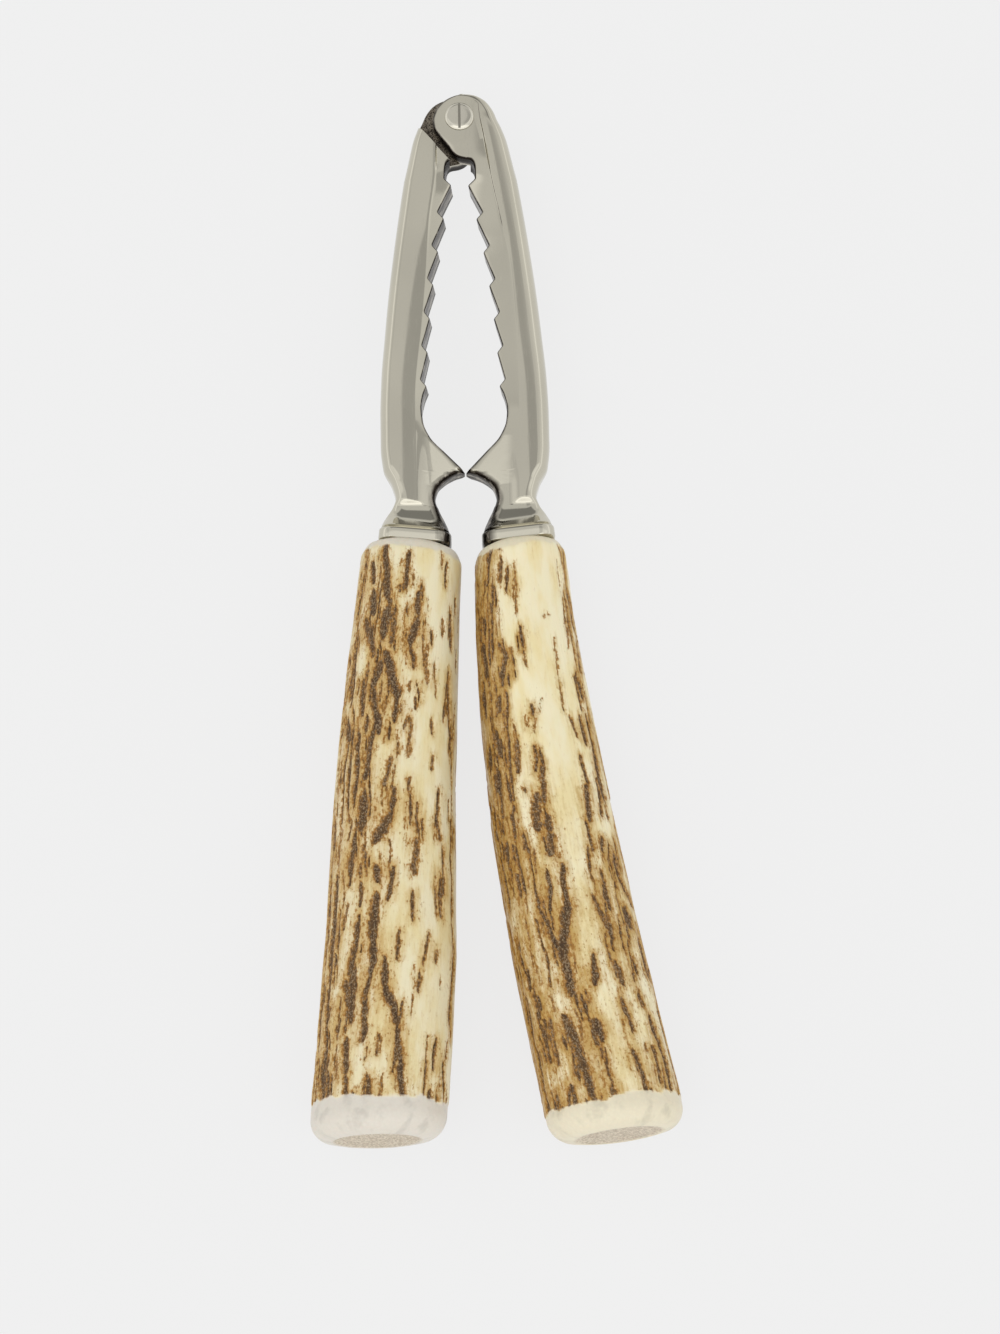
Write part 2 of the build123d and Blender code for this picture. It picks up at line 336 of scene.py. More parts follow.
def threaded_steel():
    """Plain steel of the tangs, with a rolled thread shown as fine rings of painted shade and highlight."""
    material, tree, shader = new_material("threaded steel", Metallic=1.0)
    rings = node(tree, "ShaderNodeTexWave", {"Vector": stretched(tree, (0, 1, 0)), "Scale": 390.0},
                 wave_type="BANDS", bands_direction="Y")
    # Painted shade and highlight: dark and light rings stand for the thread's grooves and crests.
    shade = blend_colour(tree, rings.outputs["Fac"], (0.30, 0.30, 0.31, 1), (0.56, 0.56, 0.57, 1))
    dress(tree, shader, shade, ramp(tree, rings.outputs["Fac"], 0, 1, 0.5, 0.3))
    return material


def bonding_resin():
    """Amber, slightly cloudy resin round the tangs."""
    material, tree, shader = new_material("bonding resin")
    cloud = noise(tree, stretched(tree, (1, 1, 1)), 300.0)
    shade = blend_colour(tree, cloud, (0.42, 0.33, 0.18, 1), (0.62, 0.54, 0.36, 1))
    dress(tree, shader, shade, ramp(tree, cloud, 0.3, 0.7, 0.45, 0.6))
    return material


def stag_antler(name, cream, tan_brown, bone_white):
    """Stag antler: cream ridges, tan and amber stain, dark pebbly furrows, bone white where sawn."""
    material, tree, shader = new_material(name, Subsurface_Weight=0.04, Subsurface_Scale=0.0015,
                                          Specular_IOR_Level=0.3)
    furrow, stain = attribute(tree, "furrow"), attribute(tree, "stain")
    bone, core = attribute(tree, "bone"), attribute(tree, "core")
    straight = node(tree, "ShaderNodeAttribute", attribute_name="straight").outputs["Vector"]

    def grained(scale, stretch, detail=3.0, roughness=0.6):
        vector = node(tree, "ShaderNodeMapping", {"Vector": straight, "Scale": (1, stretch, 1)})
        return noise(tree, vector.outputs["Vector"], scale, detail, roughness)

    fibre = grained(1.5, 0.14, 4.0)
    hair = grained(2.6, 0.22, 2.0)
    pebble = grained(1.7, 0.7, 4.0, 0.7)
    speck = grained(3.0, 0.75, 2.0)
    cloud = grained(0.22, 0.35)

    def centred(value, gain):
        return times(tree, math_node(tree, "SUBTRACT", value, 0.5), gain)

    def added(*values):
        total = values[0]
        for value in values[1:]:
            total = plus(tree, total, value)
        return total

    warm = tuple(c * f for c, f in zip(cream[:3], (0.95, 0.89, 0.72))) + (1,)
    ground = blend_colour(tree, ramp(tree, cloud, 0.35, 0.65), cream, warm)
    tan_mask = added(stain, centred(fibre, 1.1), centred(cloud, 0.7), centred(pebble, 0.5))
    ground = blend_colour(tree, times(tree, ramp(tree, tan_mask, 0.05, 0.85), 0.92),
                          ground, tan_brown)
    unrest = ramp(tree, added(stain, furrow), 0.0, 0.45, 0.45, 1.0)
    ragged = times(tree, added(centred(pebble, 1.5), centred(hair, 1.0)), unrest)
    flecks = added(times(tree, stain, 0.46), times(tree, ragged, 0.85),
                   times(tree, centred(speck, 0.9), unrest))
    ground = blend_colour(tree, times(tree, ramp(tree, flecks, 0.28, 0.52), 0.7),
                          ground, AMBER_FLECK)
    edge = added(furrow, ragged)
    amber = blend_colour(tree, ramp(tree, edge, 0.10, 0.42), ground, AMBER_EDGE)
    umber = blend_colour(tree, ramp(tree, edge, 0.34, 0.72), amber, UMBER)
    dark = blend_colour(tree, times(tree, ramp(tree, edge, 0.75, 1.15), 0.75),
                        umber, FURROW_FLOOR)
    glint = times(tree, ramp(tree, speck, 0.50, 0.62), ramp(tree, furrow, 0.25, 0.6))
    skin = blend_colour(tree, times(tree, glint, 0.62), dark, FURROW_GLINT)

    pores = use_group(tree, SPECKLE, Scale=1500.0, Amount=0.25)
    smudge = ramp(tree, grained(0.3, 0.9), 0.48, 0.72)
    pale = blend_colour(tree, smudge, bone_white, tuple(0.84 * c for c in bone_white[:3]) + (1,))
    pale = blend_colour(tree, times(tree, pores.outputs["Mask"], 0.3), pale, PORE)
    marrow = blend_colour(tree, ramp(tree, pebble, 0.42, 0.58), MARROW, MARROW_HOLE)
    skin = blend_colour(tree, bone, skin, pale)
    skin = blend_colour(tree, core, skin, marrow)

    relief = added(times(tree, fibre, 0.30),
                   times(tree, pebble, ramp(tree, furrow, 0.2, 0.8, 0.12, 1.0)))
    relief = times(tree, relief, ramp(tree, bone, 0.0, 1.0, 1.0, 0.12))
    dress(tree, shader, skin, ramp(tree, edge, 0.3, 0.75, 0.38, 0.7), relief, 0.5, 0.0004)
    return material


# ---- jaw arms ----------------------------------------------------------------------------
# One casting, as the right arm: +x is its back, z = 0 the lap plane, side A (its lug's side) up.
TEETH = 7
FIRST_TIP, TOOTH_PITCH, TOOTH_RISE = 15.0, 7.3, 1.3
HEAD_HALF = 3.75
COLLAR_TILT = 6.0
SEAT = (10.55, -92.5)        # centre of the collar's end face
COLLAR_HALF_WIDTH, COLLAR_RIM = 7.3, 2.9
NUB_Y = -77.1
NUB_HALF_TIP = 0.8           # half thickness at the very point of the nub
NUB_LEAN = 0.08              # slope of the nub's face towards the handles
CREASE_HALF = 0.2            # half width of the crease
LUG_DOME = 75.0              # radius of the slight doming of the lug's face
FACE_END = -83.0             # the polished faces stop here, above the flare
NECK_Y, NECK_HALF = -84.5, 3.05  # where the neck is thinnest, and half its thickness there
COLLAR_TOP, COLLAR_TOP_HALF = -89.6, 5.0
JAW_TOP = -13.7              # the teeth begin here, below the head
WAIST_Y = -58.8              # the last tooth gives way to the bow
SHOULDER = ((7.98, -2.43), (1.89, -9.82))  # the slanting wall of the half lap
SHOULDER_OVERRUN = 0.4       # its cut runs past both ends by this part of its length
LAP_REACH = 14.0             # the lap's cut runs this far past the head
LAP_GAP = 0.05               # from the lap plane to a lug's inner face
CUT_DEPTH = 9.0              # deeper than any part of the casting
BORE_RADIUS, TIGHT_BORE_RADIUS = 2.05, 2.0  # in the lug that turns on the shank, and in the other
# Points across a face: round the inner edge, over the inner facet and the back, round the back's edge.
EDGE_STEPS, INNER_STEPS, OUTER_STEPS, BACK_STEPS = 6, 9, 11, 9
HEAD_ROWS = 110


def root_line(y):
    return 8.65 - 250.8 + np.sqrt(250.8 ** 2 - (y + 66.0) ** 2)


def tip_line(y):
    return 7.45 - 219.3 + np.sqrt(219.3 ** 2 - (y + 64.8) ** 2)


def inner_edge(y):
    """Inner outline from the first tooth root to the collar: teeth, bow, nub and throat."""
    corners = [(JAW_TOP, root_line(JAW_TOP))]
    for tooth in range(TEETH):
        tip = -FIRST_TIP - tooth * TOOTH_PITCH
        if tooth:
            corners.append((tip + TOOTH_RISE, root_line(tip + TOOTH_RISE)))
        corners.append((tip, tip_line(tip)))
    corner_y, corner_x = np.array(corners).T
    teeth = np.interp(y, corner_y[::-1], corner_x[::-1])
    bow = through([WAIST_Y, -61.0, -63.6, -66.5, -69.8, -73.3, NUB_Y],
                  [7.37, 8.2, 8.62, 8.4, 7.1, 3.9, 0.1], y)
    throat = through([NUB_Y, -77.35, -77.75, -78.9, -80.5, -82.6, -85.0, -86.9, -88.6, COLLAR_TOP],
                     [0.1, 1.2, 2.3, 4.15, 5.6, 6.15, 5.4, 4.4, 3.65, 3.4], y)
    return np.where(y > WAIST_Y, teeth, np.where(y > NUB_Y, bow, throat))


def outer_edge(y):
    """Outline of the arm's back, from beside the pivot to the collar."""
    return through([0.0, -5.9, -12.5, -21.5, -30.3, -39.0, -47.8, -56.5, -65.0, -71.0, -76.0, -79.5, -82.6,
                    -84.5, -86.7, -88.4, COLLAR_TOP],
                   [7.75, 10.0, 11.5, 12.95, 14.15, 15.2, 16.05, 16.8, 17.1, 17.1, 16.6, 14.95, 14.2,
                    14.8, 16.1, 16.85, 17.1], y)


HEAD_RUNGS = [
    # inner point, outer point of each rung round the head, from the first tooth to the crown
    ((3.14, -13.7), (11.75, -13.7)),
    ((3.05, -11.6), (11.1, -10.9)),
    ((2.75, -10.2), (10.5, -8.2)),
    ((2.0, -9.45), (10.15, -6.6)),
    ((0.3, -9.1), (9.7, -4.7)),
    ((-1.0, -8.5), (9.2, -3.2)),
    ((-2.6, -6.4), (8.5, -1.5)),
    ((-4.3, -4.0), (7.75, 0.0)),
    ((-5.35, -2.0), (7.15, 1.45)),
    ((-5.5, -0.6), (6.45, 2.65)),
    ((-4.9, 1.5), (5.5, 3.8)),
    ((-3.8, 3.1), (4.3, 4.65)),
    ((-2.5, 4.15), (3.1, 5.15)),
    ((-1.0, 4.85), (2.0, 5.33)),
    ((0.2, 5.2), (1.0, 5.33)),
]


def arm_rungs():
    """Ends of every rung across the arm, from the crown of the head down to the collar's seat."""
    rungs = np.array(HEAD_RUNGS)
    span = np.linalg.norm(np.diff(rungs.mean(1), axis=0), axis=1) + 0.4
    where = np.concatenate([[0], np.cumsum(span)])
    fine = np.linspace(where[-1], 0, HEAD_ROWS)[:-1]
    head_in, head_out = (np.stack([through(where, rungs[:, end, i], fine) for i in range(2)], 1)
                         for end in range(2))

    jaw_y = np.concatenate([np.arange(JAW_TOP, -76.4, -0.16), np.arange(-76.4, -78.6, -0.06),
                            np.arange(-78.6, COLLAR_TOP, -0.16)])
    kernel = np.ones(3) / 3
    edge = inner_edge(jaw_y)
    rounded = np.convolve(np.pad(edge, 1, mode="edge"), kernel, "valid")
    edge = np.where(jaw_y > -59.5, rounded, edge)
    jaw_in = np.stack([edge, jaw_y], 1)
    jaw_out = np.stack([outer_edge(jaw_y), jaw_y], 1)

    lean = radians(COLLAR_TILT)
    turn = smooth(-83.5, COLLAR_TOP, jaw_y)[:, None]
    tilted_in, tilted_out = (line + turn * (line - [SEAT[0], 0])[:, :1] * np.array([[0, tan(lean)]])
                             for line in (jaw_in, jaw_out))

    axis = np.array([sin(lean), -cos(lean)])
    across = np.array([cos(lean), sin(lean)])
    rim = np.array([0.12, 0.25, 0.5, 0.75, 1.3, 1.8, 2.2, 2.5, 2.75, COLLAR_RIM])
    top = np.array(SEAT) - COLLAR_RIM * axis
    bulge = COLLAR_HALF_WIDTH - np.array([0.25, 0.12, 0.03, 0, 0, 0, 0, 0.05, 0.22, 0.5])
    rim_in = top + rim[:, None] * axis - bulge[:, None] * across
    rim_out = top + rim[:, None] * axis + bulge[:, None] * across
    return (np.concatenate([head_in, tilted_in, rim_in]), np.concatenate([head_out, tilted_out, rim_out]),
            np.concatenate([np.full(len(fine) + len(jaw_y), -1.0), rim]))


def crease_line(y, side):
    """Where the face of the inner facet meets the rounded back."""
    if side > 0:
        return through([4.0, 1.8, -5.0, -12.0, -24.3, -32.5, -45.0, -62.0, -90.0],
                       [3.9, 4.0, 5.05, 6.1, 8.35, 9.8, 10.6, 11.1, 11.25], y)
    return through([0.0, -7.4, -9.6, -22.9, -38.3, -45.0, -62.0, -90.0],
                   [5.2, 4.9, 4.9, 6.5, 7.7, 8.3, 9.9, 10.0], y)


def face_height(x, y, side):
    """Height of the arm's face above the lap plane before its edges are rounded off."""
    crease = crease_line(y, side)
    if side > 0:
        crown = through([4.0, 0.0, -12.0, -24.0, -32.0, -45.0, -62.0, -90.0],
                        [3.9, 5.0, 7.2, 9.0, 9.9, 10.9, 12.3, 12.6], y)
        top = through([5.0, 3.2, -1.0, -10.0, -24.0, -62.0, -82.0, -90.0],
                      [3.75, 3.76, 4.02, 4.08, 4.08, 4.05, 3.95, 3.95], y)
        bend = through([0.0, -16.0, -30.0, -90.0], [10.0, 10.0, 12.0, 12.0], y)
        step = 0.30 * smooth(3.0, 0.0, y) * smooth(-27.0, -15.0, y)
    else:
        crown = through([0.0, -12.0, -24.0, -30.0, -38.0, -45.0, -62.0, -90.0],
                        [6.0, 6.3, 8.0, 9.6, 11.0, 12.0, 13.5, 13.5], y)
        top = through([0.0, -10.0, -62.0, -82.0, -90.0], [3.75, 3.95, 4.05, 3.95, 3.95], y)
        bend = through([0.0, -16.0, -30.0, -90.0], [14.0, 16.0, 19.0, 18.0], y)
        step = 0.12 * smooth(-7.0, -9.0, y) * smooth(-34.0, -22.0, y)
    nub_fall = 0.06 if side > 0 else -0.02
    fall = through([5.0, -10.0, -15.0, -22.0, -32.0, -50.0, -60.0, -65.0, -70.0, -90.0],
                   [0.0, 0.0, 0.16, 0.30, 0.38, 0.46, 0.44, 0.30, nub_fall, nub_fall], y)
    at_crease = top - (crease - crown) ** 2 / (2 * bend)
    inner = at_crease - step - fall * (crease - x)
    inner = inner - NUB_LEAN * np.clip(-66.0 - y, 0, 14) * smooth(0.0, 3.0, crease - x)
    outer = top - (x - crown) ** 2 / (2 * bend)
    lug = HEAD_HALF - ((x - 0.5) ** 2 + (y + 0.5) ** 2) / (2 * LUG_DOME)
    head = smooth(-13.0, -6.5, y)
    inner = inner * (1 - head) + head * lug
    crown_top = smooth(-2.5, 4.5, y)
    outer = outer * (1 - crown_top) + crown_top * lug
    edge = smooth(-1, 1, (x - crease) / CREASE_HALF)
    return inner * (1 - edge) + outer * edge


def flare_height(y):
    """Half depth of the neck's flare, between the end of the faces and the collar's rim."""
    fall = NECK_HALF + 0.9 * smooth(NECK_Y, FACE_END, y)
    rise = NECK_HALF + (COLLAR_TOP_HALF - NECK_HALF) * ((NECK_Y - y) / (NECK_Y - COLLAR_TOP)) ** 2
    return np.where(y > FACE_END, 9.0, np.where(y > NECK_Y, fall, rise))


def rounding(distance, width, drop):
    """Drop of an edge rounded over width, at a distance from the outline."""
    t = np.clip(1 - distance / width, 0, 1)
    return drop * (1 - np.sqrt(1 - t * t))


def arm_face(inner, outer, rim, side, hidden):
    """Points of one face of the arm, a row for each rung, from its inner to its outer edge.

    hidden is 1 where the lug on this side lies in the gap, out of a polishing wheel's reach and in shade,
    which is painted darker there.
    The second result is how unpolished each point is left, from 0 up, with painted shade added in the gap,
    along the crease's step and on the inner edges' rounding.
    """
    rungs = len(inner)
    run = outer - inner
    length = np.linalg.norm(run, axis=1)
    direction = run / length[:, None]

    def slant(points):
        along = np.gradient(points, axis=0)
        along /= np.linalg.norm(along, axis=1)[:, None] + 1e-9
        across = np.abs(along[:, 0] * direction[:, 1] - along[:, 1] * direction[:, 0])
        return np.clip(across, 0.25, 1)

    y = inner[:, 1]
    collar = rim >= 0
    in_radius = through([5.3, -9.0, -12.0, -58.0, -66.0, -74.0, NUB_Y, -80.0, -84.0, COLLAR_TOP],
                        [0.45, 0.5, 0.32, 0.32, 0.45, 0.6, 0.9, 1.5, 1.7, 3.0], y)
    out_width = through([5.3, 0.0, -10.0, -20.0, -40.0, -70.0, -80.0, -84.0, COLLAR_TOP],
                        [0.9, 1.5, 1.9, 2.2, 2.4, 2.2, 2.0, 2.4, 3.0], y)
    in_radius = np.where(collar, 3.0, in_radius)
    out_width = np.where(collar, 3.0, out_width)
    room = np.clip(length, 0.02, None)
    in_radius = np.minimum(in_radius, 0.35 * room)
    out_width = np.minimum(out_width, 0.35 * room)

    in_steps = 1 - np.cos(np.linspace(0, pi / 2, EDGE_STEPS))
    out_steps = 1 - np.cos(np.linspace(0, pi / 2, BACK_STEPS))
    low_in = in_radius / slant(inner)
    low_out = out_width / slant(outer)
    low_in, low_out = np.minimum(low_in, 0.4 * room), np.minimum(low_out, 0.4 * room)

    # Where the crease crosses each rung.
    t = np.linspace(0, 1, 200)
    grid = inner[:, None] + t[None, :, None] * run[:, None]
    side_of = grid[..., 0] - crease_line(grid[..., 1], side)
    past = np.clip(np.argmax(side_of > 0, axis=1), 1, len(t) - 1)
    rows = np.arange(rungs)
    before, after = side_of[rows, past - 1], side_of[rows, past]
    part = np.clip(before / np.where(before == after, 1, before - after), 0, 1)
    at = length * (past - 1 + part) / (len(t) - 1)
    at = np.where(side_of.max(1) > 0, at, 0.5 * length)
    at = np.clip(at, low_in + 0.3, room - low_out - 0.3)

    columns = [in_steps[None] * low_in[:, None]]
    skew = 1 / np.clip(direction[:, 0], 0.5, 1)
    half = CREASE_HALF * skew
    inner_span = (at - half - low_in)[:, None]
    columns.append(low_in[:, None] + inner_span * np.linspace(0, 1, INNER_STEPS + 1)[None, 1:])
    columns.append(at[:, None] + half[:, None] * np.array([[-0.5, 0.0, 0.5, 1.0]]))
    outer_span = (room - low_out - at - half)[:, None]
    outer_places = np.linspace(0, 1, OUTER_STEPS + 1)[None, 1:]
    columns.append(at[:, None] + half[:, None] + outer_span * outer_places)
    columns.append(room[:, None] - out_steps[None, ::-1][:, 1:] * low_out[:, None])
    d = np.concatenate(columns, axis=1)
    d = np.maximum.accumulate(np.clip(d, 0, room[:, None]), axis=1)

    plan = inner[:, None] + d[..., None] * direction[:, None]
    height = face_height(plan[..., 0], plan[..., 1], side)
    flare = flare_height(y)
    flare = np.where(collar, through([0, 0.25, 0.5, 0.75, 2.2, 2.5, 2.75, COLLAR_RIM],
                                     [5.0, 5.27, 5.44, 5.5, 5.38, 5.30, 5.15, 4.9], rim), flare)
    below_face = collar | (y < NECK_Y)
    height = np.where(below_face[:, None], flare[:, None], np.minimum(height, flare[:, None]))

    edge_half = np.where(collar, 0.0, through([5.3, 0.0, -10.0, -30.0, -75.0, -84.0, COLLAR_TOP],
                                             [2.6, 2.2, 1.2, 0.7, 0.7, 1.4, 2.2], y))
    at_collar = np.where(collar, 1.0, smooth(NECK_Y, -89.4, y))
    drop_in = np.where(y > -62, in_radius, in_radius * (1.15 - 0.15 * at_collar))
    drop_out = np.clip(height[:, -BACK_STEPS] - edge_half, 0.05, None)
    drop_out = drop_out * (1 - at_collar) + out_width * at_collar
    height = height - rounding(d * slant(inner)[:, None], in_radius[:, None], drop_in[:, None])
    from_back = (room[:, None] - d) * slant(outer)[:, None]
    height = height - rounding(from_back, out_width[:, None], drop_out[:, None])
    from_nub = np.hypot(plan[..., 0] - 0.1, plan[..., 1] - NUB_Y)
    height = np.minimum(height, NUB_HALF_TIP + 1.25 * from_nub)
    # Painted shade: where the lug lies in the gap, and beside the other arm's lug, the unpolished band is
    # widened and darkened.
    reach = 0.45 + hidden * 2.5 * smooth(-15.0, -12.5, y) * smooth(-3.0, -6.0, y)
    buffed_and_unshaded = np.clip((d - (reach * low_in)[:, None]) / (0.5 * low_in[:, None]), 0, 1)
    dullest_and_shaded = 1 + 0.6 * smooth(-15.0, -12.5, y) * smooth(-4.0, -7.5, y)
    dull_and_shade = (1 - buffed_and_unshaded) * dullest_and_shaded[:, None]
    # A painted dark line of shade along the crease's step on side A.
    if side > 0:
        crease = EDGE_STEPS + INNER_STEPS + 1
        dull_and_shade[:, crease] = np.maximum(dull_and_shade[:, crease], smooth(2.6, 1.4, y) * smooth(-25.0, -23.6, y))
    return np.concatenate([plan, height[..., None]], axis=2), dull_and_shade


def arm_casting(name, lug_hidden, nickel, cast_face):
    """The whole casting before its half lap is cut, as the right-hand arm."""
    inner, outer, rim = arm_rungs()
    draft = 0.2 * smooth(-8, -16, inner[:, 1]) * smooth(-66, -58, inner[:, 1])
    shift = np.stack([draft, np.zeros_like(draft)], 1)
    face_a, raw_a = arm_face(inner - shift, outer, rim, +1, 1.0 if lug_hidden else 0.0)
    face_b, raw_b = arm_face(inner + shift, outer, rim, -1, 0.0 if lug_hidden else 1.0)
    rungs = len(inner)
    face_b = face_b * np.array([1, 1, -1])
    # The wall between the teeth's edges: how far each of its columns is from side A, and how unpolished and
    # darkened by painted shade.
    share, dullness_and_shade = np.array([(0.80, 1.3), (0.55, 1.0), (0.30, 0.75), (0.12, 1.45)]).T
    share = share[None, :, None]
    wall = face_a[:, :1] * (1 - share) + face_b[:, :1] * share
    wall_dull_and_shade = dullness_and_shade[None] * raw_a[:, :1]
    rings = np.concatenate([face_a, face_b[:, ::-1], wall], axis=1)
    around = rings.shape[1]
    points = rings.reshape(-1, 3)
    faces = ring_faces(rungs, around)
    faces.append(tuple(range(around))[::-1])
    faces.append(tuple((rungs - 1) * around + i for i in range(around)))
    piece = mesh_piece(name, points, faces, [nickel, cast_face])
    # The dark of unpolished plate and of painted shade, for the nickel's material to read.
    store(piece, "unbuffed_and_shade", np.concatenate([raw_a, raw_b[:, ::-1], wall_dull_and_shade], axis=1))
    bm = bmesh.new()
    bm.from_mesh(piece.data)
    bmesh.ops.remove_doubles(bm, verts=bm.verts, dist=2e-6)
    bmesh.ops.dissolve_degenerate(bm, edges=bm.edges, dist=1e-6)
    bmesh.ops.recalc_face_normals(bm, faces=bm.faces)
    bm.to_mesh(piece.data)
    bm.free()
    return piece


def prism(name, outline, low, high, material):
    """Upright prism over an outline, used to cut the castings."""
    n = len(outline)
    points = [(x, y, low) for x, y in outline] + [(x, y, high) for x, y in outline]
    faces = [tuple(range(n))[::-1], tuple(range(n, 2 * n))]
    faces += [(i, (i + 1) % n, n + (i + 1) % n, n + i) for i in range(n)]
    piece = mesh_piece(name, points, faces, [material])
    sharpen(piece, 10)
    return piece


def cut_away(piece, cutter):
    """Cuts one mesh out of another and forgets the cutter."""
    modifier = piece.modifiers.new("cut", "BOOLEAN")
    modifier.operation = "DIFFERENCE"
    modifier.solver = "EXACT"
    modifier.object = cutter
    modifier.material_mode = "TRANSFER"
    depsgraph = bpy.context.evaluated_depsgraph_get()
    cut = bpy.data.meshes.new_from_object(piece.evaluated_get(depsgraph))
    piece.modifiers.clear()
    piece.data = cut
    bpy.data.objects.remove(cutter)


def disc_outline(radius, count=64):
    return [(radius * cos(2 * pi * i / count), radius * sin(2 * pi * i / count)) for i in range(count)]


def jaw_arm(name, body, turned_over, nickel, cast_face):
    """One arm: the casting, its lap cut with the shoulder's slant, and the pivot's bore."""
    piece = arm_casting(name, turned_over, nickel, cast_face)
    top, foot = np.array(SHOULDER)
    high = tuple(top - SHOULDER_OVERRUN * (foot - top))
    low = tuple(foot + SHOULDER_OVERRUN * (foot - top))
    lap = [high, (high[0], LAP_REACH), (-LAP_REACH, LAP_REACH), (-LAP_REACH, low[1]), low]
    cut_away(piece, prism("lap cutter", lap, -CUT_DEPTH, LAP_GAP, cast_face))
    bore = disc_outline(TIGHT_BORE_RADIUS if turned_over else BORE_RADIUS)
    cut_away(piece, prism("bore cutter", bore, -CUT_DEPTH, CUT_DEPTH, cast_face))
    if turned_over:
        about = Matrix.Translation(PIVOT) @ Matrix.Rotation(pi, 4, "Y") @ Matrix.Translation(-PIVOT)
        piece.data.transform(about)
    sharpen(piece, 32)
    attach(piece, body)
    return piece


# ---- pivot -------------------------------------------------------------------------------
DISC = [(0, 0.65), (1.4, 0.645), (2.3, 0.635), (2.36, 0.62), (2.46, 0.58), (2.92, 0.20),
        (2.99, 0.12), (3.03, 0)]     # radius and height above its seat
SEAT_GAP = 0.05              # between each disc and the lug
SHANK_RADIUS, STUD_RADIUS, STUD_LENGTH = 2.0, 1.5, 0.6
SCREW_SLOT, NUT_SLOT = 0.5, 0.6  # widths
SLOT_DEPTH, SLOT_REACH = 0.3, 4.0
DISC_SIDES = 96


def turned_disc(name, profile, material, shade, slot_width, up):
    """Lathe-turned round head from (radius, height) points, slotted; up is +1 or -1."""
    around = DISC_SIDES
    points = [(0, 0, profile[0][1])]
    rings = []
    for radius, height in profile[1:]:
        rings.append(len(points))
        points += [(x, y, height) for x, y in disc_outline(radius, around)]
    faces = [(0, rings[0] + i, rings[0] + (i + 1) % around) for i in range(around)]
    for a, b in zip(rings[:-1], rings[1:]):
        faces += [(a + i, b + i, b + (i + 1) % around, a + (i + 1) % around) for i in range(around)]
    faces.append(tuple(rings[-1] + i for i in range(around))[::-1])
    points = [(x, y, up * z) for x, y, z in points]
    piece = mesh_piece(name, points, faces, [material, shade])
    sharpen(piece, 60)
    top = profile[0][1]
    half = slot_width / 2
    slot = [(-half, -SLOT_REACH), (half, -SLOT_REACH), (half, SLOT_REACH), (-half, SLOT_REACH)]
    low, high = sorted((up * (top - SLOT_DEPTH), up * (top + 1)))
    cut_away(piece, prism(name + " slot cutter", slot, low, high, shade))
    sharpen(piece, 28)
    return piece


def pivot_pieces(nickel, shade):
    """Slotted screw head with its shoulder, and the slotted nut below."""
    base = HEAD_HALF + SEAT_GAP
    head = [(radius, base + height) for radius, height in DISC]
    shank = [(SHANK_RADIUS, base), (SHANK_RADIUS, -base), (STUD_RADIUS, -base),
             (STUD_RADIUS, -base - STUD_LENGTH)]
    screw = turned_disc("pivot_screw_turned", head + shank, nickel, shade, SCREW_SLOT, 1)
    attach(screw, LEFT)
    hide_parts("pivot_screw")
    nut = turned_disc("pivot_nut_turned", head, nickel, shade, NUT_SLOT, -1)
    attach(nut, LEFT)
    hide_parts("pivot_nut")


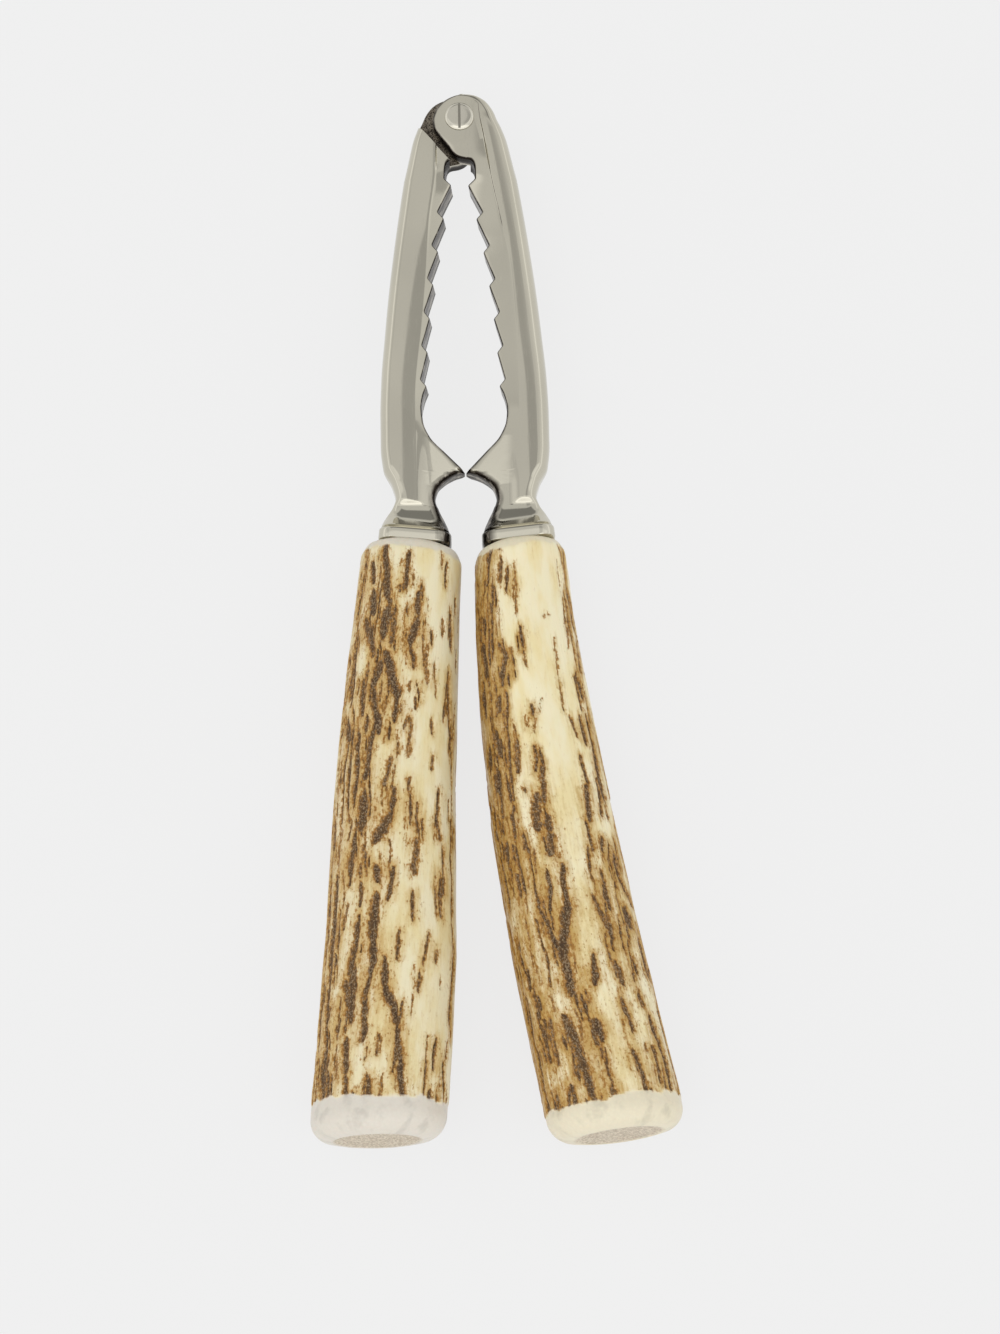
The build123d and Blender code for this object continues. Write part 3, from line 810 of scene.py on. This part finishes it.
# ---- antler handles -----------------------------------------------------------------------
# Furrows that give each tine its look.  Each is (along, across, along, across, width, depth):
# millimetres from the collar, place across the upper side from -1 (left) to 1 (right), width in
# millimetres and how deep and dark it is, from 0 to 1.
LEFT_FURROWS = [
    (2, -.5, 13, -.36, 1.8, .9), (5, -.74, 9.5, -.67, 1.3, .9), (11, -.67, 16, -.62, 1.9, 1),
    (8, -.88, 15, -.93, 1.2, .8), (3.5, 0, 11, -.07, 1.5, .9), (7.5, .1, 10, .1, .8, .5),
    (11.5, .23, 16, .22, 1.5, .9), (17, .22, 22, .15, 1.9, .9), (22, .15, 27, .23, 1.1, .8),
    (15, -.35, 21, -.38, 2.3, .95), (15, -.2, 22, -.2, 1.4, .7), (17, -.72, 24, -.55, 1.8, .8),
    (20, -.86, 34, -.84, 1.2, .8), (24, -.28, 33, -.04, 2.1, 1), (33, -.04, 38, -.02, 1.3, .9),
    (26, -.36, 31, -.47, 1.8, .9), (31, -.45, 40, -.33, 1.7, 1), (29, -.68, 36, -.63, 1, .9),
    (36.5, -.56, 39.5, -.55, 1.4, .8), (36, -.88, 41, -.83, 1.8, .9), (41, -.83, 49, -.86, 1, .8),
    (40, -.66, 53, -.63, 1.1, .9), (40, -.42, 49, -.48, 1.4, .9), (45, -.1, 51, -.18, 1.4, .7),
    (52, -.47, 59, -.5, 2.2, .9), (51, .04, 57, -.05, 1.2, .9), (56.5, -.06, 61.5, -.27, 2.4, .9),
    (14.5, .84, 21.5, .87, .8, .9), (16, .7, 19.5, .7, .8, .5), (26, .84, 34, .86, .8, .8),
    (34, .87, 42, .9, .8, .8), (22, .43, 30, .46, 1.2, .5), (29.5, .17, 32, .17, .9, .6),
    (33, .3, 35.5, .3, .9, .6), (36.5, .2, 39.5, .13, .9, .7), (36.5, .6, 40, .6, .8, .6),
    (44, .62, 47, .6, .8, .7), (42, .22, 45, .22, 1.2, .45), (49, .25, 52.5, .28, .9, .6),
    (53.5, .42, 60, .4, .7, .7), (55, -.74, 57, -.73, .8, .6), (61, .37, 68, .35, 1.3, .7),
    (66, -.22, 69.5, -.22, 1.4, .95), (66.5, .05, 73, -.03, 1.1, .8), (69, -.47, 74, -.47, .9, .8),
    (72, -.23, 81, -.24, 1.5, 1), (81, -.24, 87, -.26, 1.5, 1), (88, -.27, 100, -.31, 1.2, .9),
    (77, -.48, 85, -.53, 1.4, .9), (85, -.53, 96, -.5, 1.9, .85), (84, -.07, 90, 0, 1.2, 1),
    (90, 0, 97, .2, 1.4, 1), (97, .2, 104, .29, 1.3, 1), (104, .29, 112, .38, 1.4, 1),
    (79, .15, 85, .14, .8, .8), (71.5, .36, 77, .36, 1, .8), (87, .48, 90.5, .48, 1, .7),
    (68, .77, 76, .78, 1, .7), (82, .72, 85, .72, 1, .6), (56, .92, 83, .95, .8, .8),
    (83, .95, 97, .96, .8, .9), (99, .77, 105.5, .78, .9, .9), (109, .75, 113, .76, 1.2, .95),
    (103, .9, 115, .95, .8, .9), (55, -.96, 83, -.96, .8, .9), (83, -.96, 117, -.94, .8, .9),
    (67, -.86, 87, -.88, 1.2, .85), (87, -.87, 114, -.82, 1.1, .9), (99, -.54, 106, -.5, 1.4, .95),
    (106, -.5, 113, -.46, 1.1, .9), (106, -.15, 111.5, -.09, 1, .9), (106, -.7, 113, -.7, .8, .8),
    (95, -.66, 99, -.68, .6, .7), (62, -.62, 68, -.62, 1.2, .7), (62, -.45, 66.5, -.43, .7, .7),
    (73, -.66, 78, -.7, 1, .6),
]
RIGHT_FURROWS = [
    (17, .3, 16.6, .48, .5, .45), (36.5, 0, 33.5, .1, .5, .5), (2, -.66, 9, -.77, 1, .9),
    (4, -.45, 9, -.47, 1.7, .6), (15, -.84, 18.5, -.85, 1.5, .9), (10, -.2, 17, -.2, 1, .4),
    (20.5, -.88, 27.5, -.87, 1.6, 1), (24, -.5, 30, -.58, 1.6, .8), (21.5, -.62, 25, -.45, 1.2, .7),
    (30, -.93, 35.5, -.92, 1.5, 1), (32, -.68, 35.5, -.68, 1.3, .8), (24, -.1, 27, -.1, .8, .5),
    (39, -.77, 44.5, -.74, 1.4, .9), (41, -.93, 46, -.93, 1.4, 1), (47, -.83, 51, -.84, 1.8, 1),
    (41.5, -.45, 48, -.48, 1.8, .7), (43, -.15, 48.5, -.2, .8, .8), (47.5, -.1, 55, -.13, 1.2, .8),
    (53, -.25, 60, -.28, 1.8, .8), (53.5, -.93, 60, -.95, 1.2, .9), (0, .95, 11, .93, 1.1, .8),
    (11, .93, 18.5, .95, 1.2, .9), (21.5, .5, 31, .45, .5, .45), (31, .45, 36, .47, .6, .6),
    (18, .83, 23.5, .72, .8, .4), (21.5, .95, 27.5, .9, 1.2, .9), (29.5, .85, 33, .85, 1, .9),
    (37, .55, 41.5, .62, 1, .6), (36, .85, 43, .88, 1, .9), (43, .86, 53.5, .88, 1.3, .9),
    (45, .6, 51.5, .62, .8, .8), (51, .58, 58, .56, 1.3, .9), (49, .82, 57, .78, 1, .8),
    (57.5, -.08, 65, -.18, 1.8, .8), (68, -.28, 76, -.35, 1, .9), (67, -.02, 76, -.06, 1.1, .95),
    (75, -.06, 82, -.26, 1.7, 1), (81, -.25, 92, -.29, 2.1, 1), (75.5, -.5, 79, -.4, 1, .9),
    (79, -.4, 85.5, -.32, 1, .9), (85, .17, 91, .08, 1.3, .95), (92.5, -.12, 96.5, -.1, 1, .9),
    (97.5, 0, 101.5, .01, 1.8, 1), (95.5, -.46, 101, -.38, 1.8, .9), (101, -.38, 107, -.33, 2, .9),
    (107, -.33, 116, -.25, 1.5, .9), (108.5, -.6, 116, -.53, 1.2, .9), (61, -.83, 65, -.84, 1.2, .9),
    (85.5, -.85, 89.5, -.86, 1.5, .9), (95.5, -.75, 104, -.78, 1, .8), (100, -.93, 109, -.94, 1, .9),
    (109, -.94, 117, -.96, 1, .9), (63.5, .43, 67.5, .42, .7, .9), (68, .55, 76, .57, .9, .8),
    (73, .35, 81.5, .5, 1.1, .7), (64, .85, 69, .85, 1.2, .9), (69, .85, 74.5, .97, 1.2, .9),
    (75.5, .84, 79, .84, 1.8, .9), (81, .93, 89.5, .97, 1.6, .9), (86.5, .47, 91.5, .52, 1.6, .7),
    (93.5, .42, 100.5, .48, 1, .8), (92.5, .72, 95.5, .72, .9, .8), (97, .8, 102, .83, 1.6, .9),
    (102, .83, 111.5, .88, 1.1, .9), (94.5, .97, 105.5, .98, 1.2, .9), (105.5, .98, 114.5, .98, 1, .9),
    (103.5, .42, 112.5, .5, 1.3, .8), (111.5, .57, 114.5, .57, .8, .8), (111, 0, 114.5, .05, 1.4, .6),
]
TINE_RADIUS = 12.0           # turns an angle round the tine into millimetres
FURROW_STRETCH = 1.033       # the furrows' places along the tine are spread by this much
BUTT_ROUND, SHOULDER_LENGTH, SHOULDER_INSET = 4.4, 3.4, 1.7
CRACKS, CRACKED_LENGTH = 2600, 118   # tries at a fine crack, and the length they are spread over
SHORT_FURROW = 7.0           # shorter ones taper all along, longer ones only near their ends
AROUND, ROWS = 264, 292      # points round a handle and along it
# The CAD handle is measured at this many places, this far in from its ends (in metres).
PLACES, IN_FROM_COLLAR, IN_FROM_BUTT = 12, 0.006, 0.012
TOP_SHARES = (0.1, 0.5, 0.9)  # rings of the end at the collar, and of the sawn end, by radius
SAWN_SHARES = (0.985, 0.96, 0.93, 0.88, 0.75, 0.5, 0.25, 0.1)


def tine_shape(cad_node):
    """Rows of y, centre x, half width, half depth and centre z along a CAD handle."""
    cad = frame["nodes"][cad_node]
    tree = BVHTree.FromObject(cad, bpy.context.evaluated_depsgraph_get())
    low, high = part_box(cad_node)
    middle = (low + high) / 2
    rows = []
    for y in np.linspace(high.y - IN_FROM_COLLAR, low.y + IN_FROM_BUTT, PLACES):
        hits = [tree.ray_cast(Vector((x, y, middle.z)), Vector((way, 0, 0)))[0]
                for x, way in ((low.x - 1, 1), (high.x + 1, -1))]
        centre_x = (hits[0].x + hits[1].x) / 2
        half_width = (hits[1].x - hits[0].x) / 2
        top = tree.ray_cast(Vector((centre_x, y, high.z + 1)), Vector((0, 0, -1)))[0]
        bottom = tree.ray_cast(Vector((centre_x, y, low.z - 1)), Vector((0, 0, 1)))[0]
        centre_z = (top.z + bottom.z) / 2
        rows.append((y, centre_x, half_width, (top.z - bottom.z) / 2, centre_z))
    rows = np.array(rows) / MM
    rows[:, 0] -= PIVOT.y / MM
    rows[:, 1] -= PIVOT.x / MM
    rows[:, 4] -= PIVOT.z / MM
    return rows


def line_fit(x, y, at):
    slope, offset = np.polyfit(x, y, 1)
    return slope * at + offset


def furrow_map(along, around, side_furrows, rough_side, seed):
    """Depth of the furrows, 0 to 1, on the unrolled tine; and a wider, softer stain round them.

    along is millimetres from the collar, around millimetres round from the top of the tine.
    rough_side gives how crowded the bark is at each place, from 0 to 1.
    """
    rng = np.random.default_rng(seed)
    circumference = 2 * pi * TINE_RADIUS
    turn = around / circumference
    wobble = grid_noise(turn * 24, along / 7.0, 24, seed + 1)
    ripple = grid_noise(turn * 90, along / 1.7, 90, seed + 2)
    shifted = around + 0.55 * wobble + 0.16 * ripple
    shifted_along = along + 0.5 * grid_noise(turn * 60, along / 3.0, 60, seed + 3)
    depth = np.zeros_like(along)
    stain = np.zeros_like(along)

    strokes = []
    for s0, f0, s1, f1, width, dark in side_furrows:
        strokes.append((FURROW_STRETCH * s0, np.arcsin(f0) * TINE_RADIUS,
                        FURROW_STRETCH * s1, np.arcsin(f1) * TINE_RADIUS, width, dark))
    for _ in range(CRACKS):
        s0 = rng.uniform(0, CRACKED_LENGTH)
        a0 = rng.uniform(-circumference / 2, circumference / 2)
        length = rng.gamma(2.2, 2.0) + 1.0
        drift = rng.normal(0, 0.05) * length
        width, dark = rng.uniform(0.3, 0.95), rng.uniform(0.3, 0.95)
        if rng.uniform() < rough_side(s0, a0 / TINE_RADIUS):
            strokes.append((s0, a0, s0 + length, a0 + drift, width, dark))

    for s0, a0, s1, a1, width, dark in strokes:
        reach = 3.2 * width + 1
        place = along[:, 0]
        rows = np.where((place > min(s0, s1) - reach) & (place < max(s0, s1) + reach))[0]
        if len(rows) == 0:
            continue
        part = slice(rows[0], rows[-1] + 1)
        gap = (shifted[part] - a0 + circumference / 2) % circumference - circumference / 2
        run_s, run_a = s1 - s0, a1 - a0
        length2 = run_s ** 2 + run_a ** 2
        t = np.clip(((shifted_along[part] - s0) * run_s + gap * run_a) / length2, 0, 1)
        off = np.hypot(shifted_along[part] - s0 - t * run_s, gap - t * run_a)
        if sqrt(length2) < SHORT_FURROW:
            taper = 0.45 + 0.55 * np.sqrt(np.clip(4 * t * (1 - t), 0, 1))
        else:
            taper = 0.6 + 0.4 * np.sqrt(np.clip(8 * np.minimum(t, 1 - t), 0, 1))
        half = 0.56 * width * taper
        groove = dark * (1 - smooth(0.1, 1.6, off / half))
        depth[part] = np.maximum(depth[part], groove)
        halo = 0.6 * dark * (1 - smooth(0.0, 1.0, off / (2.4 * half + 1.5)))
        stain[part] = stain[part] + halo * (1 - stain[part])
    pebbles = grid_noise(turn * 150, along / 0.5, 150, seed + 4)
    depth = np.clip(depth * (1 + 0.30 * pebbles), 0, 1)
    return depth, stain


def left_bark(along, angle):
    """How crowded the bark is on the left tine."""
    if abs(angle) >= pi / 2:
        return 0.75
    across = sin(angle)
    upper = 0.34 if across < 0.1 else 0.12
    return upper if along < 60 else 0.55 * upper + (0.3 if across < -0.75 else 0)


def right_bark(along, angle):
    """How crowded the bark is on the right tine: bare down the middle, dense on both flanks."""
    if abs(angle) >= pi / 2:
        return 0.8
    across = sin(angle)
    bare_from = np.interp(along, [0, 30, 60, 115], [-0.18, -0.02, -0.04, 0.07])
    bare_to = np.interp(along, [0, 30, 52, 84, 115], [0.8, 0.7, 0.45, 0.33, 0.33])
    if bare_from < across < bare_to:
        return 0.0
    if across < -0.5:
        return 0.5
    return 0.26 if across < 0 else 0.3


def antler_handle(name, cad_node, body, furrows, bark, weathering, band, saw_cut, material, seed):
    """One handle: tine, furrows cut in, rounded ends, a bone band and the sawn core.

    weathering is how brown the left flank and the underside are, from 0 to 1.  band is the length
    of the polished band.  saw_cut is the lean of the sawn face in degrees, and how far its middle is
    above the CAD handle's lowest point.
    """
    rows = tine_shape(cad_node)
    seat_sign = 1 if body == RIGHT else -1
    seat_y = SEAT[1]
    seat_lean = COLLAR_TILT * seat_sign
    near = rows[-4:]
    butt_lean, above_low = saw_cut
    butt_y = (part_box(cad_node)[0].y - PIVOT.y) / MM + above_low

    y_line = np.linspace(seat_y, butt_y, ROWS)
    beyond = butt_y - 6
    centre_x = through(np.append(rows[:, 0], beyond),
                       np.append(rows[:, 1], line_fit(near[:, 0], near[:, 1], beyond)), y_line)
    top_x = line_fit(rows[:2, 0], rows[:2, 1], y_line)
    centre_x = np.where(y_line > rows[0, 0], top_x, centre_x)
    half_width, half_depth, centre_z = (through(rows[:, 0], rows[:, i], y_line) for i in (2, 3, 4))
    early = np.clip((y_line - rows[0, 0]) / 6.0, 0, 1)
    half_width, half_depth = half_width - 0.25 * early, half_depth - 0.15 * early
    progress = (seat_y - y_line) / (seat_y - butt_y)
    lean = (radians(seat_lean) * (1 - smooth(0, 0.5, progress))
            + radians(butt_lean) * smooth(0.3, 1.0, progress))
    step = np.hypot(np.diff(y_line), np.diff(centre_x))
    along = np.concatenate([[0], np.cumsum(step)])
    total = along[-1]

    angle = np.linspace(-pi, pi, AROUND, endpoint=False)
    along_grid = np.repeat(along[:, None], AROUND, 1)
    around_grid = np.repeat(angle[None] * TINE_RADIUS, ROWS, 0)
    turn = around_grid / (2 * pi * TINE_RADIUS)
    depth, stain = furrow_map(along_grid, around_grid, furrows, bark, seed)
    low_part = smooth(0.3, 0.7, along_grid / total)
    underside = 0.7 * smooth(0.15, -0.45, np.cos(angle))
    flank = np.maximum(smooth(-0.3, -0.8, np.sin(angle)), underside)
    flank = weathering * np.maximum(flank, 0.45 * low_part)
    stain = stain + flank * (1 - stain)

    # Polished bands, with an uneven border, at the butt and in a thin line at the collar.
    scallop = 1.1 * grid_noise(turn * 14, np.full_like(turn, 0.5), 14, seed + 7)
    scallop = scallop + 0.5 * grid_noise(turn * 44, np.full_like(turn, 3.5), 44, seed + 8)
    border = total - band + scallop
    bone = smooth(-0.25, 0.25, along_grid - border)
    top_bone = smooth(0.3, -0.3, along_grid - 2.0 - 0.6 * scallop)
    bone = np.maximum(bone, 0.75 * top_bone)
    depth = depth * (1 - bone)
    stain = stain * (1 - bone)

    swell = grid_noise(turn * 7, along_grid / 16.0, 7, seed + 9)
    lumps = grid_noise(turn * 30, along_grid / 9.0, 30, seed + 10)
    bark_here = smooth(0.05, 0.5, stain)
    offset = 0.16 * swell + 0.10 * lumps * (0.3 + 0.7 * bark_here) - 0.55 * depth
    offset = offset * (1 - 0.9 * bone) - 0.12 * bone

    # Rounded ends.
    inset = rounding(along, SHOULDER_LENGTH, SHOULDER_INSET)
    inset = inset + rounding(total - along, BUTT_ROUND, 0.93 * BUTT_ROUND)

    def ring(k, extra_inset, offsets):
        a = half_width[k] * cos(lean[k]) - extra_inset
        b = half_depth[k] - extra_inset
        radial = np.stack([np.sin(angle), np.cos(angle)], 1)
        spread = radial * np.array([a, b]) + radial * offsets[:, None]
        x = centre_x[k] + spread[:, 0] * cos(lean[k])
        y = y_line[k] + spread[:, 0] * sin(lean[k])
        return np.stack([x, y, centre_z[k] + spread[:, 1]], 1)

    points, straight = [], []
    marks = {"furrow": [], "stain": [], "bone": [], "core": []}

    def add(ring_points, place, radius=TINE_RADIUS, **rows_of):
        """One ring, its place on the unrolled tine, and its marks; a mark left out is 0."""
        points.append(ring_points)
        straight.append(np.stack([radius * np.sin(angle), np.full(AROUND, place), radius * np.cos(angle)], 1))
        for key in marks:
            marks[key].append(np.broadcast_to(rows_of.get(key, 0), (AROUND,)))

    flat = np.zeros(AROUND)
    top_rim = ring(0, inset[0], flat)
    for part in TOP_SHARES:
        shrunk = top_rim.mean(0) + part * (top_rim - top_rim.mean(0))
        add(shrunk, 0, part * TINE_RADIUS, bone=1)
    for k in range(ROWS):
        add(ring(k, inset[k], offset[k]), along[k], furrow=depth[k], stain=stain[k], bone=bone[k])
    last = ROWS - 1
    butt_rim = ring(last, inset[last], flat)
    inward = np.array([-sin(lean[last]), cos(lean[last]), 0])
    for part in SAWN_SHARES:
        dish = 0.15 * smooth(0.97, 0.85, part)
        sawn = butt_rim.mean(0) + part * (butt_rim - butt_rim.mean(0)) + dish * inward
        add(sawn, total, part * TINE_RADIUS, bone=1, core=smooth(0.98, 0.86, part))
    rings = len(points)
    faces = ring_faces(rings, AROUND)
    final = (rings - 1) * AROUND
    centre = rings * AROUND
    faces.append(tuple(range(AROUND)))
    faces += [(final + (i + 1) % AROUND, final + i, centre) for i in range(AROUND)]
    points.append(points[-1].mean(0)[None])
    straight.append(np.array([[0, total, 0]]))
    piece = mesh_piece(name, np.concatenate(points), faces, [material])
    for key, values in marks.items():
        store(piece, key, np.concatenate(values + [values[-1][:1]]))
    grain = piece.data.attributes.new("straight", "FLOAT_VECTOR", "POINT")
    grain.data.foreach_set("vector", np.concatenate(straight).astype(np.float32).ravel())
    sharpen(piece, 75)
    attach(piece, body)
    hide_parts(cad_node)
    return piece


# ---- studio --------------------------------------------------------------------------------
TENT_LEVEL = 0.76            # brightness of the tent overhead
VIEW_HEIGHT = 73.0           # degrees above the table
VIEW_DISTANCE = 900.0        # from the camera to the table
FIELD_LENGTH = 269.494949    # of the table, as the view's long side takes in
SENSOR = 36.0
VIEW_CENTRE = (8.391, -114.056)  # the point of the table looked at, from the foot of the pivot
TURN = 1.08                  # degrees between the nutcracker and the view's upright
CLIP_NEAR, CLIP_FAR = 0.05, 20   # metres, as the floor's half side
FLOOR_GLOW, FLOOR_HALF = 0.775, 4.0


def studio_camera():
    """Camera above the handles' side, its upright turned a little from the nutcracker's."""
    turn = Matrix.Rotation(radians(-TURN), 3, "Z")
    foot = Vector((PIVOT.x, PIVOT.y, 0))
    target = foot + turn @ Vector((*VIEW_CENTRE, 0)) * MM
    height = radians(VIEW_HEIGHT)
    away = turn @ Vector((0, -cos(height), sin(height)))
    camera_data = bpy.data.cameras.new("studio camera")
    camera_data.sensor_fit = "AUTO"
    camera_data.sensor_width = SENSOR
    camera_data.lens = VIEW_DISTANCE / FIELD_LENGTH * SENSOR
    camera_data.clip_start, camera_data.clip_end = CLIP_NEAR, CLIP_FAR
    camera = placed("studio camera", camera_data)
    right = turn @ Vector((1, 0, 0))
    up = away.cross(right)
    basis = Matrix((right, up, away)).transposed().to_4x4()
    camera.matrix_world = Matrix.Translation(target + away * VIEW_DISTANCE * MM) @ basis
    bpy.context.scene.camera = camera


def area_light(name, place, aim, size, watts, glossy=True):
    light_data = bpy.data.lights.new(name, "AREA")
    light_data.shape = "RECTANGLE"
    light_data.size, light_data.size_y = size
    light_data.energy = watts
    light = placed(name, light_data)
    light.location = place
    light.rotation_euler = (Vector(aim) - Vector(place)).to_track_quat("-Z", "Y").to_euler()
    light.visible_glossy = glossy


def light_tent():
    """Soft white tent: bright low panels at the sides, a grey band beside the top, a dark back."""
    world = bpy.data.worlds.new("light tent")
    bpy.context.scene.world = world
    world.use_nodes = True
    tree = world.node_tree
    background = tree.nodes["Background"]
    direction = node(tree, "ShaderNodeSeparateXYZ",
                     {"Vector": node(tree, "ShaderNodeTexCoord").outputs["Generated"]}).outputs
    x, y, z = direction["X"], direction["Y"], direction["Z"]
    sideways = math_node(tree, "ABSOLUTE", x)

    def both(a, b):
        return times(tree, a, b)

    def window(axis, empty, full, still_full, gone):
        return both(ramp(tree, axis, empty, full), ramp(tree, axis, gone, still_full))

    grey_band = both(window(x, 0.05, 0.10, 0.34, 0.40), ramp(tree, z, 0.80, 0.90))
    far_band = both(window(x, -0.84, -0.74, -0.62, -0.52), ramp(tree, z, 0.35, 0.5))
    side_panels = ramp(tree, sideways, 0.45, 0.95)
    low_strips = both(window(z, 0.12, 0.18, 0.30, 0.36), ramp(tree, sideways, 0.5, 0.6))
    middle_back = both(ramp(tree, y, 0.30, 0.45), ramp(tree, sideways, 0.36, 0.26))
    dark_back = both(window(z, 0.06, 0.18, 0.72, 0.80), middle_back)
    front_panel = both(ramp(tree, y, -0.4, -0.6), ramp(tree, z, 0.05, 0.2))
    near_top = both(ramp(tree, y, 0.27, 0.15), ramp(tree, z, 0.4, 0.7))
    shade = TENT_LEVEL
    for mask, change in ((grey_band, -0.24), (far_band, -0.12), (side_panels, 0.16), (low_strips, 0.25),
                         (dark_back, -0.47), (front_panel, 0.6), (near_top, 0.26)):
        shade = plus(tree, shade, both(mask, change))
    grey = node(tree, "ShaderNodeCombineColor", {"Red": shade, "Green": shade, "Blue": shade})
    tree.links.new(grey.outputs["Color"], background.inputs["Color"])
    background.inputs["Strength"].default_value = 1.0


def pale_floor():
    """Seamless pale sweep that the nutcracker lies on, glowing a little so that shadows stay faint."""
    material, tree, shader = new_material("pale sweep", Roughness=0.9, Emission_Strength=FLOOR_GLOW)
    mottle = noise(tree, stretched(tree, (1, 1, 1)), 3.0)
    paint = blend_colour(tree, mottle, (0.085, 0.085, 0.085, 1), (0.095, 0.095, 0.095, 1))
    tree.links.new(paint, shader.inputs["Base Color"])
    shader.inputs["Emission Color"].default_value = (1, 1, 1, 1)
    shader.inputs["Specular IOR Level"].default_value = 0.0
    corners = [(x * FLOOR_HALF, y * FLOOR_HALF, 0) for x, y in ((-1, -1), (1, -1), (1, 1), (-1, 1))]
    mesh = bpy.data.meshes.new("floor")
    mesh.from_pydata(corners, [], [(0, 1, 2, 3)])
    mesh.materials.append(material)
    floor = placed("floor", mesh)


# ---- put together ----------------------------------------------------------------------------
nickel = bright_nickel("bright nickel plate", (0.60, 0.57, 0.475, 1), 0.07, 0.05)
pivot_nickel = bright_nickel("pivot nickel plate", (0.64, 0.61, 0.52, 1), 0.09, 0.06)
# Painted shade: the slots' floors get a darker nickel.
slot_shade_nickel = bright_nickel("slot shade nickel plate", (0.33, 0.31, 0.26, 1), 0.3, 0.1)
casting_skin_and_shade = rough_casting()
steel = threaded_steel()
resin = bonding_resin()
left_antler = stag_antler("stag antler left", (0.78, 0.71, 0.49, 1), (0.54, 0.355, 0.125, 1),
                          (0.68, 0.635, 0.555, 1))
right_antler = stag_antler("stag antler right", (0.83, 0.755, 0.52, 1), (0.47, 0.285, 0.072, 1),
                           (0.74, 0.675, 0.51, 1))

for cad_name, finish in (("left_tang", steel), ("right_tang", steel),
                         ("left_bond", resin), ("right_bond", resin)):
    cad_mesh = frame["nodes"][cad_name].data
    cad_mesh.materials.clear()
    cad_mesh.materials.append(finish)

left_jaw = jaw_arm("left_jaw_arm", LEFT, True, nickel, casting_skin_and_shade)
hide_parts("left_arm")
right_jaw = jaw_arm("right_jaw_arm", RIGHT, False, nickel, casting_skin_and_shade)
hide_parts("right_arm")
pivot_pieces(pivot_nickel, slot_shade_nickel)
antler_handle("left_antler_handle", "left_handle", LEFT, LEFT_FURROWS, left_bark,
              0.22, 7.0, (0.5, 0.55), left_antler, 11)
antler_handle("right_antler_handle", "right_handle", RIGHT, RIGHT_FURROWS, right_bark,
              0.55, 5.4, (6.5, 2.44), right_antler, 29)

pale_floor()
light_tent()
area_light("overhead key", (-0.5, 0.25, 1.1), (0, 0, 0), (0.9, 0.9), 1.5, glossy=False)
studio_camera()
bpy.context.scene.view_settings.view_transform = "Standard"
